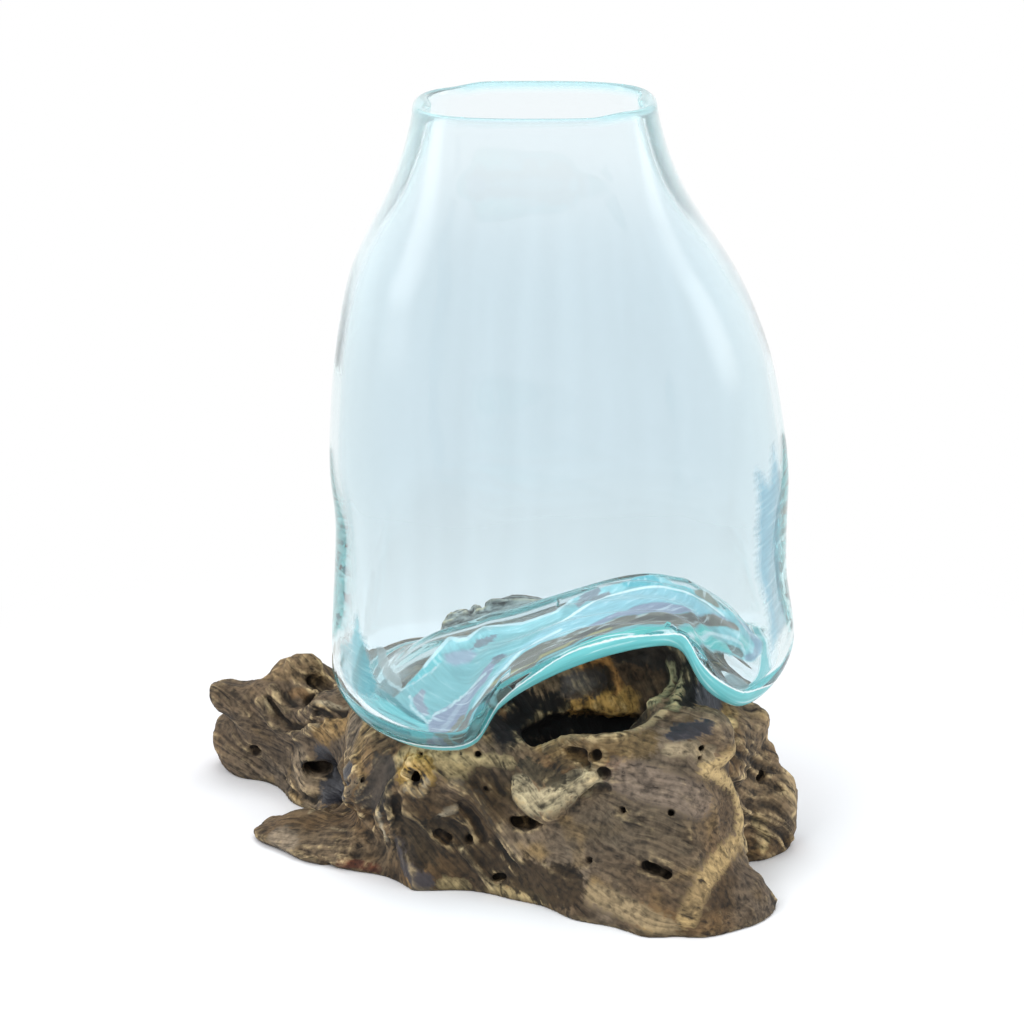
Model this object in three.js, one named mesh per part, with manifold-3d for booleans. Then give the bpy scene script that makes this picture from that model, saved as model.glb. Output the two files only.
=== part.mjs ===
// Glass vase on a root: a thick-walled blown glass vase that was sunk, while soft, over the knob of a root.
// The two pieces are the vase and the root it sits on; the vase lifts straight up off the root.
// Millimetres. +Z is up, z = 0 is the sawn underside of the root, -Y is the front.
import * as THREE from "three";
import { mergeVertices } from "three/addons/utils/BufferGeometryUtils.js";
import Module from "manifold-3d";

const wasm = await Module();
wasm.setup();

// Glass vase: overall sizes
const RIM_HEIGHT = 322.6;
const POCKET_HEIGHT = 62;
const BODY_WIDTH = 195.2;
const BODY_DEPTH = 164;
const WALL = 3.2;
const BASE_WALL = 6.5;
const LIP_RISE = 1.3;
const RIM_STEP = 1.6;
const RIM_STEP_ANGLE = 0.6;
const RIM_STEP_SHARPNESS = 3;
const POCKET_HEEL = 18;
const ARCH_HEEL = 10;
const CREST_HEIGHT = 115;

// Share of the wall's rows, counted up from the heel, over which the wall thickens to the base
const THICKENING = 0.4;

// Space left between the underside of the glass and the wood it was blown on
const SEAT_GAP = 0.3;

// Root: how far its raw top may reach past the underside of the glass before the seat is cut
const SEAT_PRESS = 10;

// Root: depth of the slow waves along its grain, and how far round each place in ROOT_TOPS its height holds
const GRAIN_WAVE = 1.1;
const TOP_REACH = 8;

// Root: slant of the sides, in mm in per mm up from mid height, at the left, the front and the right
const MID_HEIGHT = 30;
const LEFT_LEAN = 0.06;
const FRONT_LEAN = 0.4;
const RIGHT_LEAN_LOW = 0.1;
const RIGHT_LEAN_HIGH = 0.9;

// Root: where each change of slant starts, and how far it takes
const FRONT_START_X = -5;
const FRONT_CHANGE = 60;
const RIGHT_START_X = 60;
const RIGHT_CHANGE_X = 40;
const RIGHT_START_Y = -44;
const RIGHT_CHANGE_Y = 30;

// Root: rounding between its sides and top
const EDGE_SOFTNESS = 14;

// Root: the block of space it lies in, the cell its surface is drawn on, and the depth sawn off below
const ROOT_LOW = [-150, -116, -16];
const ROOT_HIGH = [140, 128, 132];
const ROOT_CELL = 6.6;
const SAWN_OFF = 60;

// Fineness of the glass surface
const ROUND_STEPS = 56;
const WALL_STEPS = 20;
const HEEL_STEPS = 5;
const BASE_STEPS = 9;
const POLE_SHARE = 0.6;

// Plan of the vase at a share of the height between the pockets and the rim:
// share, centre x, centre y, width share, depth share, squareness
const VASE_PLANS = [
  [0.0, 21.0, 0.0, 1.0, 1.0, 2.3],
  [0.142, 21.5, 0.0, 1.0, 1.0, 2.3],
  [0.242, 20.4, 0.0, 0.976, 1.0, 2.25],
  [0.326, 20.4, 0.0, 0.971, 1.0, 2.2],
  [0.414, 19.5, 0.0, 0.981, 1.0, 2.2],
  [0.507, 18.3, 0.0, 0.961, 0.98, 2.2],
  [0.595, 16.9, 0.5, 0.926, 0.955, 2.2],
  [0.683, 14.4, 1.5, 0.863, 0.9, 2.2],
  [0.741, 12.4, 2.5, 0.801, 0.85, 2.3],
  [0.798, 11.0, 3.5, 0.714, 0.78, 2.4],
  [0.856, 10.2, 4.2, 0.625, 0.69, 2.6],
  [0.913, 9.7, 4.7, 0.559, 0.61, 2.8],
  [0.967, 9.4, 5.0, 0.518, 0.565, 2.9],
  [1.0, 9.2, 5.0, 0.502, 0.548, 2.9],
];

// Underside of the glass from left to right, as x and share of the rise from pocket to crest
const DRAPE_FRONT_Y = -60;
const DRAPE_FRONT = [
  [-80, 0.08],
  [-55, 0.02],
  [-28, 0.04],
  [-14, 0.15],
  [-5, 0.45],
  [12, 0.7],
  [35, 0.89],
  [57, 0.96],
  [68, 0.89],
  [76, 0.6],
  [84, 0.42],
  [95, 0.27],
  [118, 0.28],
];
const DRAPE_MIDDLE_Y = 0;
const DRAPE_MIDDLE = [
  [-80, 0.15],
  [-55, 0.15],
  [-30, 0.46],
  [0, 0.66],
  [30, 0.87],
  [58, 1.0],
  [75, 0.93],
  [90, 0.74],
  [100, 0.53],
  [118, 0.45],
];
const DRAPE_REAR_Y = 65;
const DRAPE_REAR = [
  [-80, 0.1],
  [-50, 0.02],
  [-20, 0.0],
  [10, 0.1],
  [40, 0.25],
  [62, 0.33],
  [85, 0.22],
  [100, 0.14],
  [118, 0.16],
];

// Outline of the root's main mass at mid height
const ROOT_OUTLINE = [
  [-124, 104],
  [-118, 84],
  [-99, 54],
  [-84, 28],
  [-66, 4],
  [-54, -28],
  [-40, -51],
  [-6, -56],
  [16, -68],
  [36, -78],
  [56, -88],
  [74, -89],
  [88, -78],
  [95, -58],
  [96, -34],
  [106, -18],
  [116, -6],
  [117, 12],
  [108, 40],
  [92, 66],
  [66, 84],
  [24, 94],
  [-20, 100],
  [-80, 108],
];

// Height of the wood at places on and around the root: x, y, z
const ROOT_TOPS = [
  [-124, 88, 40],
  [-100, 78, 57],
  [-112, 60, 36],
  [-82, 44, 50],
  [-70, 10, 52],
  [-58, -22, 56],
  [-88, 100, 42],
  [-52, 88, 56],
  [-32, 90, 66],
  [-12, 92, 80],
  [8, 93, 70],
  [42, 88, 78],
  [74, 76, 60],
  [94, 58, 48],
  [112, 24, 38],
  [104, -10, 62],
  [94, -42, 78],
  [84, -66, 60],
  [68, -62, 82],
  [60, -88, 44],
  [36, -66, 76],
  [8, -58, 70],
  [-40, -54, 62],
  // below the glass
  [-36, -6, 78],
  [-30, 24, 76],
  [-14, -14, 86],
  [-10, 14, 90],
  [6, 32, 90],
  [10, -4, 98],
  [16, 14, 102],
  [30, -8, 104],
  [34, 30, 104],
  [58, 30, 106],
  [74, 22, 96],
];

// Swellings of the wood: centre, radii, turn about Z, softness of the joint with the rest
const ROOT_LOBES = [
  // knob under the arch of the glass
  [[58, -6, 76], [35, 37, 41], 0, 14],
  // seat of the left pocket
  [[-42, -8, 40], [30, 44, 30], 0, 12],
  // seat of the right pocket
  [[91, -12, 54], [13, 32, 20], 0, 10],
  // nub on the right-hand branch, below the glass
  [[99, -12, 60], [9, 12, 8], 0, 5],
  // saddle under the back of the glass
  [[20, 56, 54], [58, 30, 33], 0, 16],
  // low tongue at the left front
  [[-72, -6, 3], [45, 24, 8], -0.5, 9],
  // foot below the horn
  [[-116, 90, 10], [21, 18, 20], 0, 6],
];

// Limbs of the wood: start, end, start radius, end radius, softness
const ROOT_LIMBS = [
  // horn at the far left
  [[-96, 76, 34], [-130, 80, 37.5], 19, 7.5, 8],
  // stump of the right-hand branch
  [[98, -6, 36], [108, -3, 19], 15, 14, 9],
  [[108, -3, 19], [108, -3, 5], 14, 13, 9],
  // lip in front of the hollow
  [[40, -62, 66], [78, -56, 70], 12, 12, 12],
  // toe at the right front
  [[58, -80, 10], [92, -70, 3], 14, 15, 12],
];

// Hollows in the wood: centre, radii, turn about Z, softness
const ROOT_HOLLOWS = [
  // dark hollow between the lip and the knob
  [[26, -40, 88], [44, 17, 22], 0.12, 8],
  // eaten-out place below the left arm
  [[-84, 24, 16], [13, 14, 10], 0.6, 8],
  // notch between the front block and the right-hand branch
  [[103, -42, 10], [9, 20, 26], 0, 8],
];

// Slow waves of the wood's surface: steps along x, y and z, start, share
const GRAIN_WAVES = [
  [0.11, 0.05, 0.07, 0, 1],
  [-0.09, 0.16, 0.04, 1.3, 0.8],
  [0.17, -0.08, 0.21, 0, 0.6],
];

// Even cubic curve through points given as [position, value, ...]
function through(points, at, column = 1) {
  const last = points.length - 1;
  if (at <= points[0][0]) return points[0][column];
  if (at >= points[last][0]) return points[last][column];
  let i = 0;
  while (points[i + 1][0] < at) i += 1;
  const slope = (k) => {
    const before = points[Math.max(k - 1, 0)];
    const after = points[Math.min(k + 1, last)];
    return (after[column] - before[column]) / (after[0] - before[0]);
  };
  const step = points[i + 1][0] - points[i][0];
  const t = (at - points[i][0]) / step;
  const start = points[i][column];
  const end = points[i + 1][column];
  const rise = end - start;
  const a = slope(i) * step - rise;
  const b = rise - slope(i + 1) * step;
  return start + t * rise + t * (1 - t) * (a * (1 - t) + b * t);
}

const smooth = (t) => {
  const c = Math.min(Math.max(t, 0), 1);
  return c * c * (3 - 2 * c);
};

// Height of the glass underside over a point of the plan
function drape(x, y) {
  const front = through(DRAPE_FRONT, x);
  const middle = through(DRAPE_MIDDLE, x);
  const rear = through(DRAPE_REAR, x);
  const toMiddle = smooth((y - DRAPE_FRONT_Y) / (DRAPE_MIDDLE_Y - DRAPE_FRONT_Y));
  const toRear = smooth((y - DRAPE_MIDDLE_Y) / (DRAPE_REAR_Y - DRAPE_MIDDLE_Y));
  const share = front + (middle - front) * toMiddle + (rear - middle) * toRear;
  return POCKET_HEIGHT + share * (CREST_HEIGHT - POCKET_HEIGHT);
}

// Point on the outside of the vase wall at an angle and height; reach 1 is the wall, 0 the centre
function planPoint(angle, z, reach) {
  const share = (z - POCKET_HEIGHT) / (RIM_HEIGHT - POCKET_HEIGHT);
  const [cx, cy, wide, deep, square] = [1, 2, 3, 4, 5].map((k) => through(VASE_PLANS, share, k));
  const c = Math.abs(Math.cos(angle)) / ((wide * BODY_WIDTH) / 2);
  const s = Math.abs(Math.sin(angle)) / ((deep * BODY_DEPTH) / 2);
  const radius = Math.pow(Math.pow(c, square) + Math.pow(s, square), -1 / square);
  return [cx + reach * radius * Math.cos(angle), cy + reach * radius * Math.sin(angle)];
}

// The outside of the glass as rows of points from the rim down to the middle of the underside
function glassRows() {
  const rows = [];
  const angles = Array.from({ length: ROUND_STEPS }, (_, i) => (i * 2 * Math.PI) / ROUND_STEPS);
  const heels = angles.map((angle) => {
    const [x, y] = planPoint(angle, POCKET_HEIGHT, 1);
    const under = drape(x, y);
    const lift = (under - POCKET_HEIGHT) / (CREST_HEIGHT - POCKET_HEIGHT);
    const radius = POCKET_HEEL + (ARCH_HEEL - POCKET_HEEL) * lift;
    return { radius, top: under + radius };
  });
  for (let i = 0; i <= WALL_STEPS; i += 1) {
    rows.push(
      angles.map((angle, k) => {
        const dip = RIM_STEP * smooth(0.5 - RIM_STEP_SHARPNESS * Math.cos(angle - RIM_STEP_ANGLE));
        const rim = RIM_HEIGHT - LIP_RISE - dip;
        const z = rim + (heels[k].top - rim) * (i / WALL_STEPS);
        return new THREE.Vector3(...planPoint(angle, z, 1), z);
      }),
    );
  }
  for (let i = 1; i <= HEEL_STEPS; i += 1) {
    const turn = (i / HEEL_STEPS) * (Math.PI / 2);
    rows.push(
      angles.map((angle, k) => {
        const { radius } = heels[k];
        const reach = 1 - ((2 * radius) / BODY_DEPTH) * (1 - Math.cos(turn));
        const [x, y] = planPoint(angle, heels[k].top, reach);
        return new THREE.Vector3(x, y, drape(x, y) + radius * (1 - Math.sin(turn)));
      }),
    );
  }
  for (let i = 1; i <= BASE_STEPS; i += 1) {
    const inward = 1 - i / (BASE_STEPS + POLE_SHARE);
    rows.push(
      angles.map((angle, k) => {
        const reach = (1 - (2 * heels[k].radius) / BODY_DEPTH) * inward;
        const [x, y] = planPoint(angle, heels[k].top, reach);
        return new THREE.Vector3(x, y, drape(x, y));
      }),
    );
  }
  return rows;
}

// Rows moved along their outward normals; move(row index) gives the distance
function offsetRows(rows, move) {
  return rows.map((row, i) =>
    row.map((point, k) => {
      const above = rows[Math.max(i - 1, 0)][k];
      const below = rows[Math.min(i + 1, rows.length - 1)][k];
      const left = row[(k + row.length - 1) % row.length];
      const right = row[(k + 1) % row.length];
      const down = new THREE.Vector3().subVectors(below, above);
      const round = new THREE.Vector3().subVectors(right, left);
      const normal = new THREE.Vector3().crossVectors(down, round).normalize();
      return point.clone().addScaledVector(normal, move(i));
    }),
  );
}

// Mean of a row of points, for the middle of a cap
function middleOf(row) {
  const sum = new THREE.Vector3();
  row.forEach((point) => sum.add(point));
  return sum.divideScalar(row.length);
}

// Closed surface from rows that run from one pole to the other
function skin(rows, firstPole, lastPole) {
  const round = rows[0].length;
  const points = [firstPole, ...rows.flat(), lastPole];
  const at = (i, k) => 1 + i * round + (k % round);
  const index = [];
  for (let k = 0; k < round; k += 1) {
    index.push(0, at(0, k), at(0, k + 1));
    index.push(points.length - 1, at(rows.length - 1, k + 1), at(rows.length - 1, k));
    for (let i = 0; i + 1 < rows.length; i += 1) {
      index.push(at(i, k), at(i + 1, k), at(i + 1, k + 1));
      index.push(at(i, k), at(i + 1, k + 1), at(i, k + 1));
    }
  }
  const geometry = new THREE.BufferGeometry().setFromPoints(points);
  geometry.setIndex(index);
  return geometry;
}

function solidOf(geometry) {
  const bare = geometry.clone();
  bare.deleteAttribute("normal");
  bare.deleteAttribute("uv");
  const merged = mergeVertices(bare, 1e-4);
  return new wasm.Manifold(
    new wasm.Mesh({
      numProp: 3,
      vertProperties: new Float32Array(merged.attributes.position.array),
      triVerts: new Uint32Array(merged.index.array),
    }),
  );
}

function geometryOf(solid) {
  const mesh = solid.getMesh();
  const geometry = new THREE.BufferGeometry();
  geometry.setAttribute("position", new THREE.BufferAttribute(mesh.vertProperties, 3));
  geometry.setIndex(new THREE.BufferAttribute(mesh.triVerts, 1));
  geometry.computeVertexNormals();
  return geometry;
}

// The glass: outside rows, a rounded lip, and inside rows set in by the wall
function vaseGeometry(outside) {
  const thickness = (i) => {
    const low = smooth(1 - (WALL_STEPS - i) / (WALL_STEPS * THICKENING));
    return WALL + (BASE_WALL - WALL) * low;
  };
  const inside = offsetRows(outside, (i) => -thickness(i));
  inside[0].forEach((point, k) => {
    point.z = outside[0][k].z;
  });
  const lip = outside[0].map((point, k) => {
    const mid = point.clone().add(inside[0][k]).multiplyScalar(0.5);
    mid.z += LIP_RISE;
    return mid;
  });
  const insideUp = [...inside].reverse();
  const baseIn = middleOf(insideUp[0]);
  const baseOut = middleOf(outside[outside.length - 1]);
  return skin([...insideUp, lip, ...outside], baseIn, baseOut);
}

// Wood shapes, as signed distances
const blend = (a, b, k) => {
  const h = Math.max(k - Math.abs(a - b), 0) / k;
  return Math.min(a, b) - h * h * k * 0.25;
};
const carve = (a, b, k) => -blend(-a, b, k);

function egg(p, [cx, cy, cz], [rx, ry, rz], turn) {
  const c = Math.cos(turn);
  const s = Math.sin(turn);
  const dx = p[0] - cx;
  const dy = p[1] - cy;
  const x = c * dx + s * dy;
  const y = c * dy - s * dx;
  const z = p[2] - cz;
  const k0 = Math.hypot(x / rx, y / ry, z / rz);
  const k1 = Math.hypot(x / (rx * rx), y / (ry * ry), z / (rz * rz));
  return (k0 * (k0 - 1)) / Math.max(k1, 1e-6);
}

function limb(p, from, to, startRadius, endRadius) {
  const d = to.map((v, i) => v - from[i]);
  const q = p.map((v, i) => v - from[i]);
  const along = (q[0] * d[0] + q[1] * d[1] + q[2] * d[2]) / (d[0] ** 2 + d[1] ** 2 + d[2] ** 2);
  const t = Math.min(Math.max(along, 0), 1);
  return Math.hypot(...q.map((v, i) => v - t * d[i])) - (startRadius + (endRadius - startRadius) * t);
}

// Signed distance in plan to the root's outline
function outlineDistance(x, y) {
  let nearest = Infinity;
  let inside = false;
  ROOT_OUTLINE.forEach(([ax, ay], i) => {
    const [bx, by] = ROOT_OUTLINE[(i + 1) % ROOT_OUTLINE.length];
    const ex = bx - ax;
    const ey = by - ay;
    const t = Math.min(Math.max(((x - ax) * ex + (y - ay) * ey) / (ex * ex + ey * ey), 0), 1);
    nearest = Math.min(nearest, Math.hypot(x - ax - t * ex, y - ay - t * ey));
    const crosses = ay > y !== by > y;
    if (crosses && x < ax + ((y - ay) * ex) / ey) inside = !inside;
  });
  return inside ? -nearest : nearest;
}

// Height of the wood's own top, weighted from the places around
function woodTop(x, y) {
  let sum = 0;
  let weights = 0;
  ROOT_TOPS.forEach(([px, py, height]) => {
    const weight = 1 / ((x - px) ** 2 + (y - py) ** 2 + TOP_REACH ** 2) ** 2;
    sum += weight * height;
    weights += weight;
  });
  return sum / weights;
}

// How much the root's sides slant inwards at a place
function leanAt(x, y, z) {
  const rightSide =
    smooth((y - RIGHT_START_Y) / RIGHT_CHANGE_Y) * smooth((x - RIGHT_START_X) / RIGHT_CHANGE_X);
  const front = LEFT_LEAN + (FRONT_LEAN - LEFT_LEAN) * smooth((x - FRONT_START_X) / FRONT_CHANGE);
  const right = z > MID_HEIGHT ? RIGHT_LEAN_HIGH : RIGHT_LEAN_LOW;
  return front + (right - front) * rightSide;
}

// The wood: a slanting main mass with its lobes and limbs, less the hollows, below 0 inside
function wood(p) {
  const [x, y, z] = p;
  const side = outlineDistance(x, y) + leanAt(x, y, z) * (z - MID_HEIGHT);
  const top = z - Math.min(woodTop(x, y), drape(x, y) + SEAT_PRESS);
  let d = -blend(-side, -top, EDGE_SOFTNESS);
  ROOT_LOBES.forEach(([centre, radii, turn, soft]) => {
    d = blend(d, egg(p, centre, radii, turn), soft);
  });
  ROOT_LIMBS.forEach(([from, to, startRadius, endRadius, soft]) => {
    d = blend(d, limb(p, from, to, startRadius, endRadius), soft);
  });
  ROOT_HOLLOWS.forEach(([centre, radii, turn, soft]) => {
    d = carve(d, egg(p, centre, radii, turn), soft);
  });
  GRAIN_WAVES.forEach(([kx, ky, kz, start, share]) => {
    d += GRAIN_WAVE * share * Math.sin(kx * x + ky * y + kz * z + start);
  });
  return d;
}

// Closed surface of the wood on an even grid of cells, one point in each cell the surface crosses
function rootGeometry() {
  const low = ROOT_LOW;
  const count = low.map((v, i) => Math.ceil((ROOT_HIGH[i] - v) / ROOT_CELL) + 1);
  const [nx, ny, nz] = count;
  const node = (i, j, k) => i + nx * (j + ny * k);
  const place = (i, j, k) => [low[0] + i * ROOT_CELL, low[1] + j * ROOT_CELL, low[2] + k * ROOT_CELL];
  const value = new Float64Array(nx * ny * nz).fill(1);
  for (let k = 1; k + 1 < nz; k += 1)
    for (let j = 1; j + 1 < ny; j += 1)
      for (let i = 1; i + 1 < nx; i += 1) value[node(i, j, k)] = wood(place(i, j, k)) || 1e-6;
  openCheckerFaces(value, count, node);

  const corners = [0, 1, 2, 3, 4, 5, 6, 7].map((c) => [c & 1, (c >> 1) & 1, (c >> 2) & 1]);
  const edges = [];
  corners.forEach((a, m) =>
    corners.forEach((b, n) => {
      const apart = Math.abs(a[0] - b[0]) + Math.abs(a[1] - b[1]) + Math.abs(a[2] - b[2]);
      if (m < n && apart === 1) edges.push([a, b]);
    }),
  );
  const points = [];
  const pointOf = new Map();
  for (let k = 0; k + 1 < nz; k += 1)
    for (let j = 0; j + 1 < ny; j += 1)
      for (let i = 0; i + 1 < nx; i += 1) {
        const mean = new THREE.Vector3();
        let found = 0;
        edges.forEach(([a, b]) => {
          const va = value[node(i + a[0], j + a[1], k + a[2])];
          const vb = value[node(i + b[0], j + b[1], k + b[2])];
          if (va < 0 === vb < 0) return;
          const t = va / (va - vb);
          const from = new THREE.Vector3(...place(i + a[0], j + a[1], k + a[2]));
          const to = new THREE.Vector3(...place(i + b[0], j + b[1], k + b[2]));
          mean.add(from.lerp(to, t));
          found += 1;
        });
        if (!found) continue;
        pointOf.set(node(i, j, k), points.length);
        points.push(mean.divideScalar(found));
      }
  const index = [];
  const axes = [
    [1, 0, 0],
    [0, 1, 0],
    [0, 0, 1],
  ];
  for (let k = 0; k + 1 < nz; k += 1)
    for (let j = 0; j + 1 < ny; j += 1)
      for (let i = 0; i + 1 < nx; i += 1)
        axes.forEach((along, n) => {
          const here = value[node(i, j, k)] < 0;
          const next = value[node(i + along[0], j + along[1], k + along[2])] < 0;
          if (here === next) return;
          const u = axes[(n + 1) % 3];
          const v = axes[(n + 2) % 3];
          const cell = (p, q) =>
            pointOf.get(node(i - p * u[0] - q * v[0], j - p * u[1] - q * v[1], k - p * u[2] - q * v[2]));
          const ring = [cell(0, 0), cell(1, 0), cell(1, 1), cell(0, 1)];
          if (!here) ring.reverse();
          index.push(ring[0], ring[1], ring[2], ring[0], ring[2], ring[3]);
        });
  const geometry = new THREE.BufferGeometry().setFromPoints(points);
  geometry.setIndex(index);
  return geometry;
}

// A cell face whose corners alternate would join four sheets along one edge, so one corner is emptied
function openCheckerFaces(value, [nx, ny, nz], node) {
  let changed = true;
  while (changed) {
    changed = false;
    for (let k = 0; k + 1 < nz; k += 1)
      for (let j = 0; j + 1 < ny; j += 1)
        for (let i = 0; i + 1 < nx; i += 1) {
          const faces = [
            [node(i, j, k), node(i + 1, j, k), node(i + 1, j + 1, k), node(i, j + 1, k)],
            [node(i, j, k), node(i, j + 1, k), node(i, j + 1, k + 1), node(i, j, k + 1)],
            [node(i, j, k), node(i, j, k + 1), node(i + 1, j, k + 1), node(i + 1, j, k)],
          ];
          faces.forEach(([a, b, c, d]) => {
            const [va, vb, vc, vd] = [a, b, c, d].map((n) => value[n] < 0);
            if (va !== vc || vb !== vd || va === vb) return;
            const full = va ? [a, c] : [b, d];
            const weak = value[full[0]] > value[full[1]] ? full[0] : full[1];
            value[weak] = 0.1;
            changed = true;
          });
        }
  }
}

// The space the vase takes up, with the seat gap round it, filled in and closed at the rim
function seatCutter(outside) {
  const around = offsetRows(outside, () => SEAT_GAP);
  return skin(around, middleOf(around[0]), middleOf(around[around.length - 1]));
}

const outside = glassRows();
const spanX = ROOT_HIGH[0] - ROOT_LOW[0];
const spanY = ROOT_HIGH[1] - ROOT_LOW[1];
const underside = new THREE.BoxGeometry(2 * spanX, 2 * spanY, SAWN_OFF).translate(0, 0, -SAWN_OFF / 2);
const rawRoot = solidOf(rootGeometry()).subtract(solidOf(underside));
const seatedRoot = rawRoot.subtract(solidOf(seatCutter(outside)));

const glass = new THREE.MeshStandardMaterial({ color: 0xcfe6ee, roughness: 0.05, metalness: 0 });
const timber = new THREE.MeshStandardMaterial({ color: 0x74614a, roughness: 0.85, metalness: 0 });

const vase = new THREE.Mesh(vaseGeometry(outside), glass);
vase.name = "glass_vase";
const root = new THREE.Mesh(geometryOf(seatedRoot), timber);
root.name = "root_base";

const part = new THREE.Group();
part.add(vase, root);
export default part;
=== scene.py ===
"""Looks of a blown glass vase that rests on a gnarled root.

The vase is a closed skin of thick aqua glass whose wavy underside lies over the root's knob, with highlights, a
reflection and the wood seen through it painted among the milky folds of its floor. The root is one piece of weathered
wood, drawn from a smooth field of lobes and limbs, with its holes, cracks, ridges and stains, and with shade painted
into its hollows, holes and foot. Sizes in the shapes are in millimetres; the meshes and the stage are in metres.
"""

import logging
from collections.abc import Callable
from dataclasses import dataclass
from enum import Enum

import bpy
import numpy as np
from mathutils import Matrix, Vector


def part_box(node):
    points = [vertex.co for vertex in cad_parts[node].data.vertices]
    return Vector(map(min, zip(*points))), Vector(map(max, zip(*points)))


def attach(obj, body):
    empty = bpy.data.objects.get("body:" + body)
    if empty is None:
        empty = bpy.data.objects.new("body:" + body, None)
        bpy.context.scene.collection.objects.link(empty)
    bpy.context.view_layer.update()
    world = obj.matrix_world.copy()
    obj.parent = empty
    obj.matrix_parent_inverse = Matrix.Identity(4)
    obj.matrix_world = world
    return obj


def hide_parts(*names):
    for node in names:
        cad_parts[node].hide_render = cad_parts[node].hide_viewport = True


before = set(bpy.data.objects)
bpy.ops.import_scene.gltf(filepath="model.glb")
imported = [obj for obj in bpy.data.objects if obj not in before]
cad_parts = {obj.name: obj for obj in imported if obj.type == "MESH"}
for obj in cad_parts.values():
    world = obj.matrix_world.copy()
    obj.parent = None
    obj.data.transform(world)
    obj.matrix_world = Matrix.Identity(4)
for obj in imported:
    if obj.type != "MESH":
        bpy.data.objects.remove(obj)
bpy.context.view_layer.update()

LOG = logging.getLogger("vase_on_root")
MM = 0.001
SEED = 7
FAR = 60.0

Vector3 = tuple[float, float, float]
Colour = tuple[int, int, int]
Socket = bpy.types.NodeSocket
CORNERS = [(k & 1, (k >> 1) & 1, (k >> 2) & 1) for k in range(8)]


class MarkKind(Enum):
    """What a mark does to the wood's surface."""

    HOLE = "hole"
    GROOVE = "groove"
    RIDGE = "ridge"


@dataclass(frozen=True)
class Mark:
    """A hole, groove or ridge of the wood along a line of points on its surface.

    Args:
        kind: What the mark does.
        radius: Half its width, in mm.
        depth: How far it goes in, or stands out, in mm.
        points: The x, y and z of each place it passes, in mm.
    """

    kind: MarkKind
    radius: float
    depth: float
    points: tuple[float, ...]


def marks(kind: MarkKind, *rows: tuple[float, ...]) -> list[Mark]:
    """Marks of one kind, each given by its radius, its depth and the numbers of its points."""
    return [Mark(kind, row[0], row[1], row[2:]) for row in rows]


@dataclass(frozen=True)
class Stain:
    """A patch or streak of colour on the wood; some are painted shade in its hollows and holes.

    Args:
        colour: Its sRGB colour, 0 to 255.
        radius: Half its width, in mm.
        strength: Its share over the wood below, 0 to 1.
        points: The x, y and z of each place it passes, in mm.
        polish: How smooth it is, 0 to 1.
    """

    colour: Colour
    radius: float
    strength: float
    points: tuple[float, ...]
    polish: float = 0.0

    @property
    def crisp(self) -> bool:
        """Whether it is small enough for a ragged edge along the fibres."""
        return self.radius <= 10


@dataclass(frozen=True)
class Fade:
    """A share that eases from 0 at its start to 1 at the end of its length, which may run downwards."""

    start: float
    length: float

    def __call__(self, at: np.ndarray) -> np.ndarray:
        """The share at each place."""
        return smooth((at - self.start) / self.length)


@dataclass(frozen=True)
class GlassFinish:
    """The glass: its refraction, what light loses in it, the colours of its walls and streaks, and its painted
    highlights.

    Wall colours are the linear share of light that passes one wall. Streak colours are sRGB, 0 to 255.
    """

    ior: float = 1.42
    roughness: float = 0.0
    absorbs: Vector3 = (0.07, 0.67, 0.67)
    density: float = 6.0
    speck_scale: float = 520.0
    shadow: Vector3 = (0.965, 0.985, 0.99)
    body: Vector3 = (0.80, 0.875, 0.915)
    side: Vector3 = (0.86, 0.93, 0.95)
    low: Vector3 = (0.92, 0.962, 0.975)
    neck: Vector3 = (0.925, 0.965, 0.985)
    corner: Vector3 = (0.8, 0.92, 0.935)
    streaks: float = 0.03
    edge_colour: Colour = (118, 208, 212)
    edge_milk: float = 0.8
    # white of the painted highlight line on the lower edge and of the painted highlight streaks
    highlight_line_colour: Colour = (236, 250, 252)
    highlight_line_milk: float = 0.9
    streak_low: float = 0.82
    streak_high: float = 1.08
    highlight_streaks: float = 0.45
    lip: Vector3 = (0.56, 0.80, 0.84)
    lip_milk: float = 0.45
    corner_milk: float = 0.42
    low_share: float = 0.7
    # heights in mm where the colours set in, that of the lip from the rim
    neck_height: Fade = Fade(250, 60)
    corner_height: Fade = Fade(262, 50)
    low_height: Fade = Fade(165, -60)
    milk_height: Fade = Fade(205, 60)
    lip_height: Fade = Fade(-3.4, 1.6)
    # how narrow the bands at the sides are, and how fine the streaks round the glass
    side_power: int = 8
    corner_power: int = 10
    streaks_round: float = 9.0
    streak_length: float = 90.0


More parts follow.
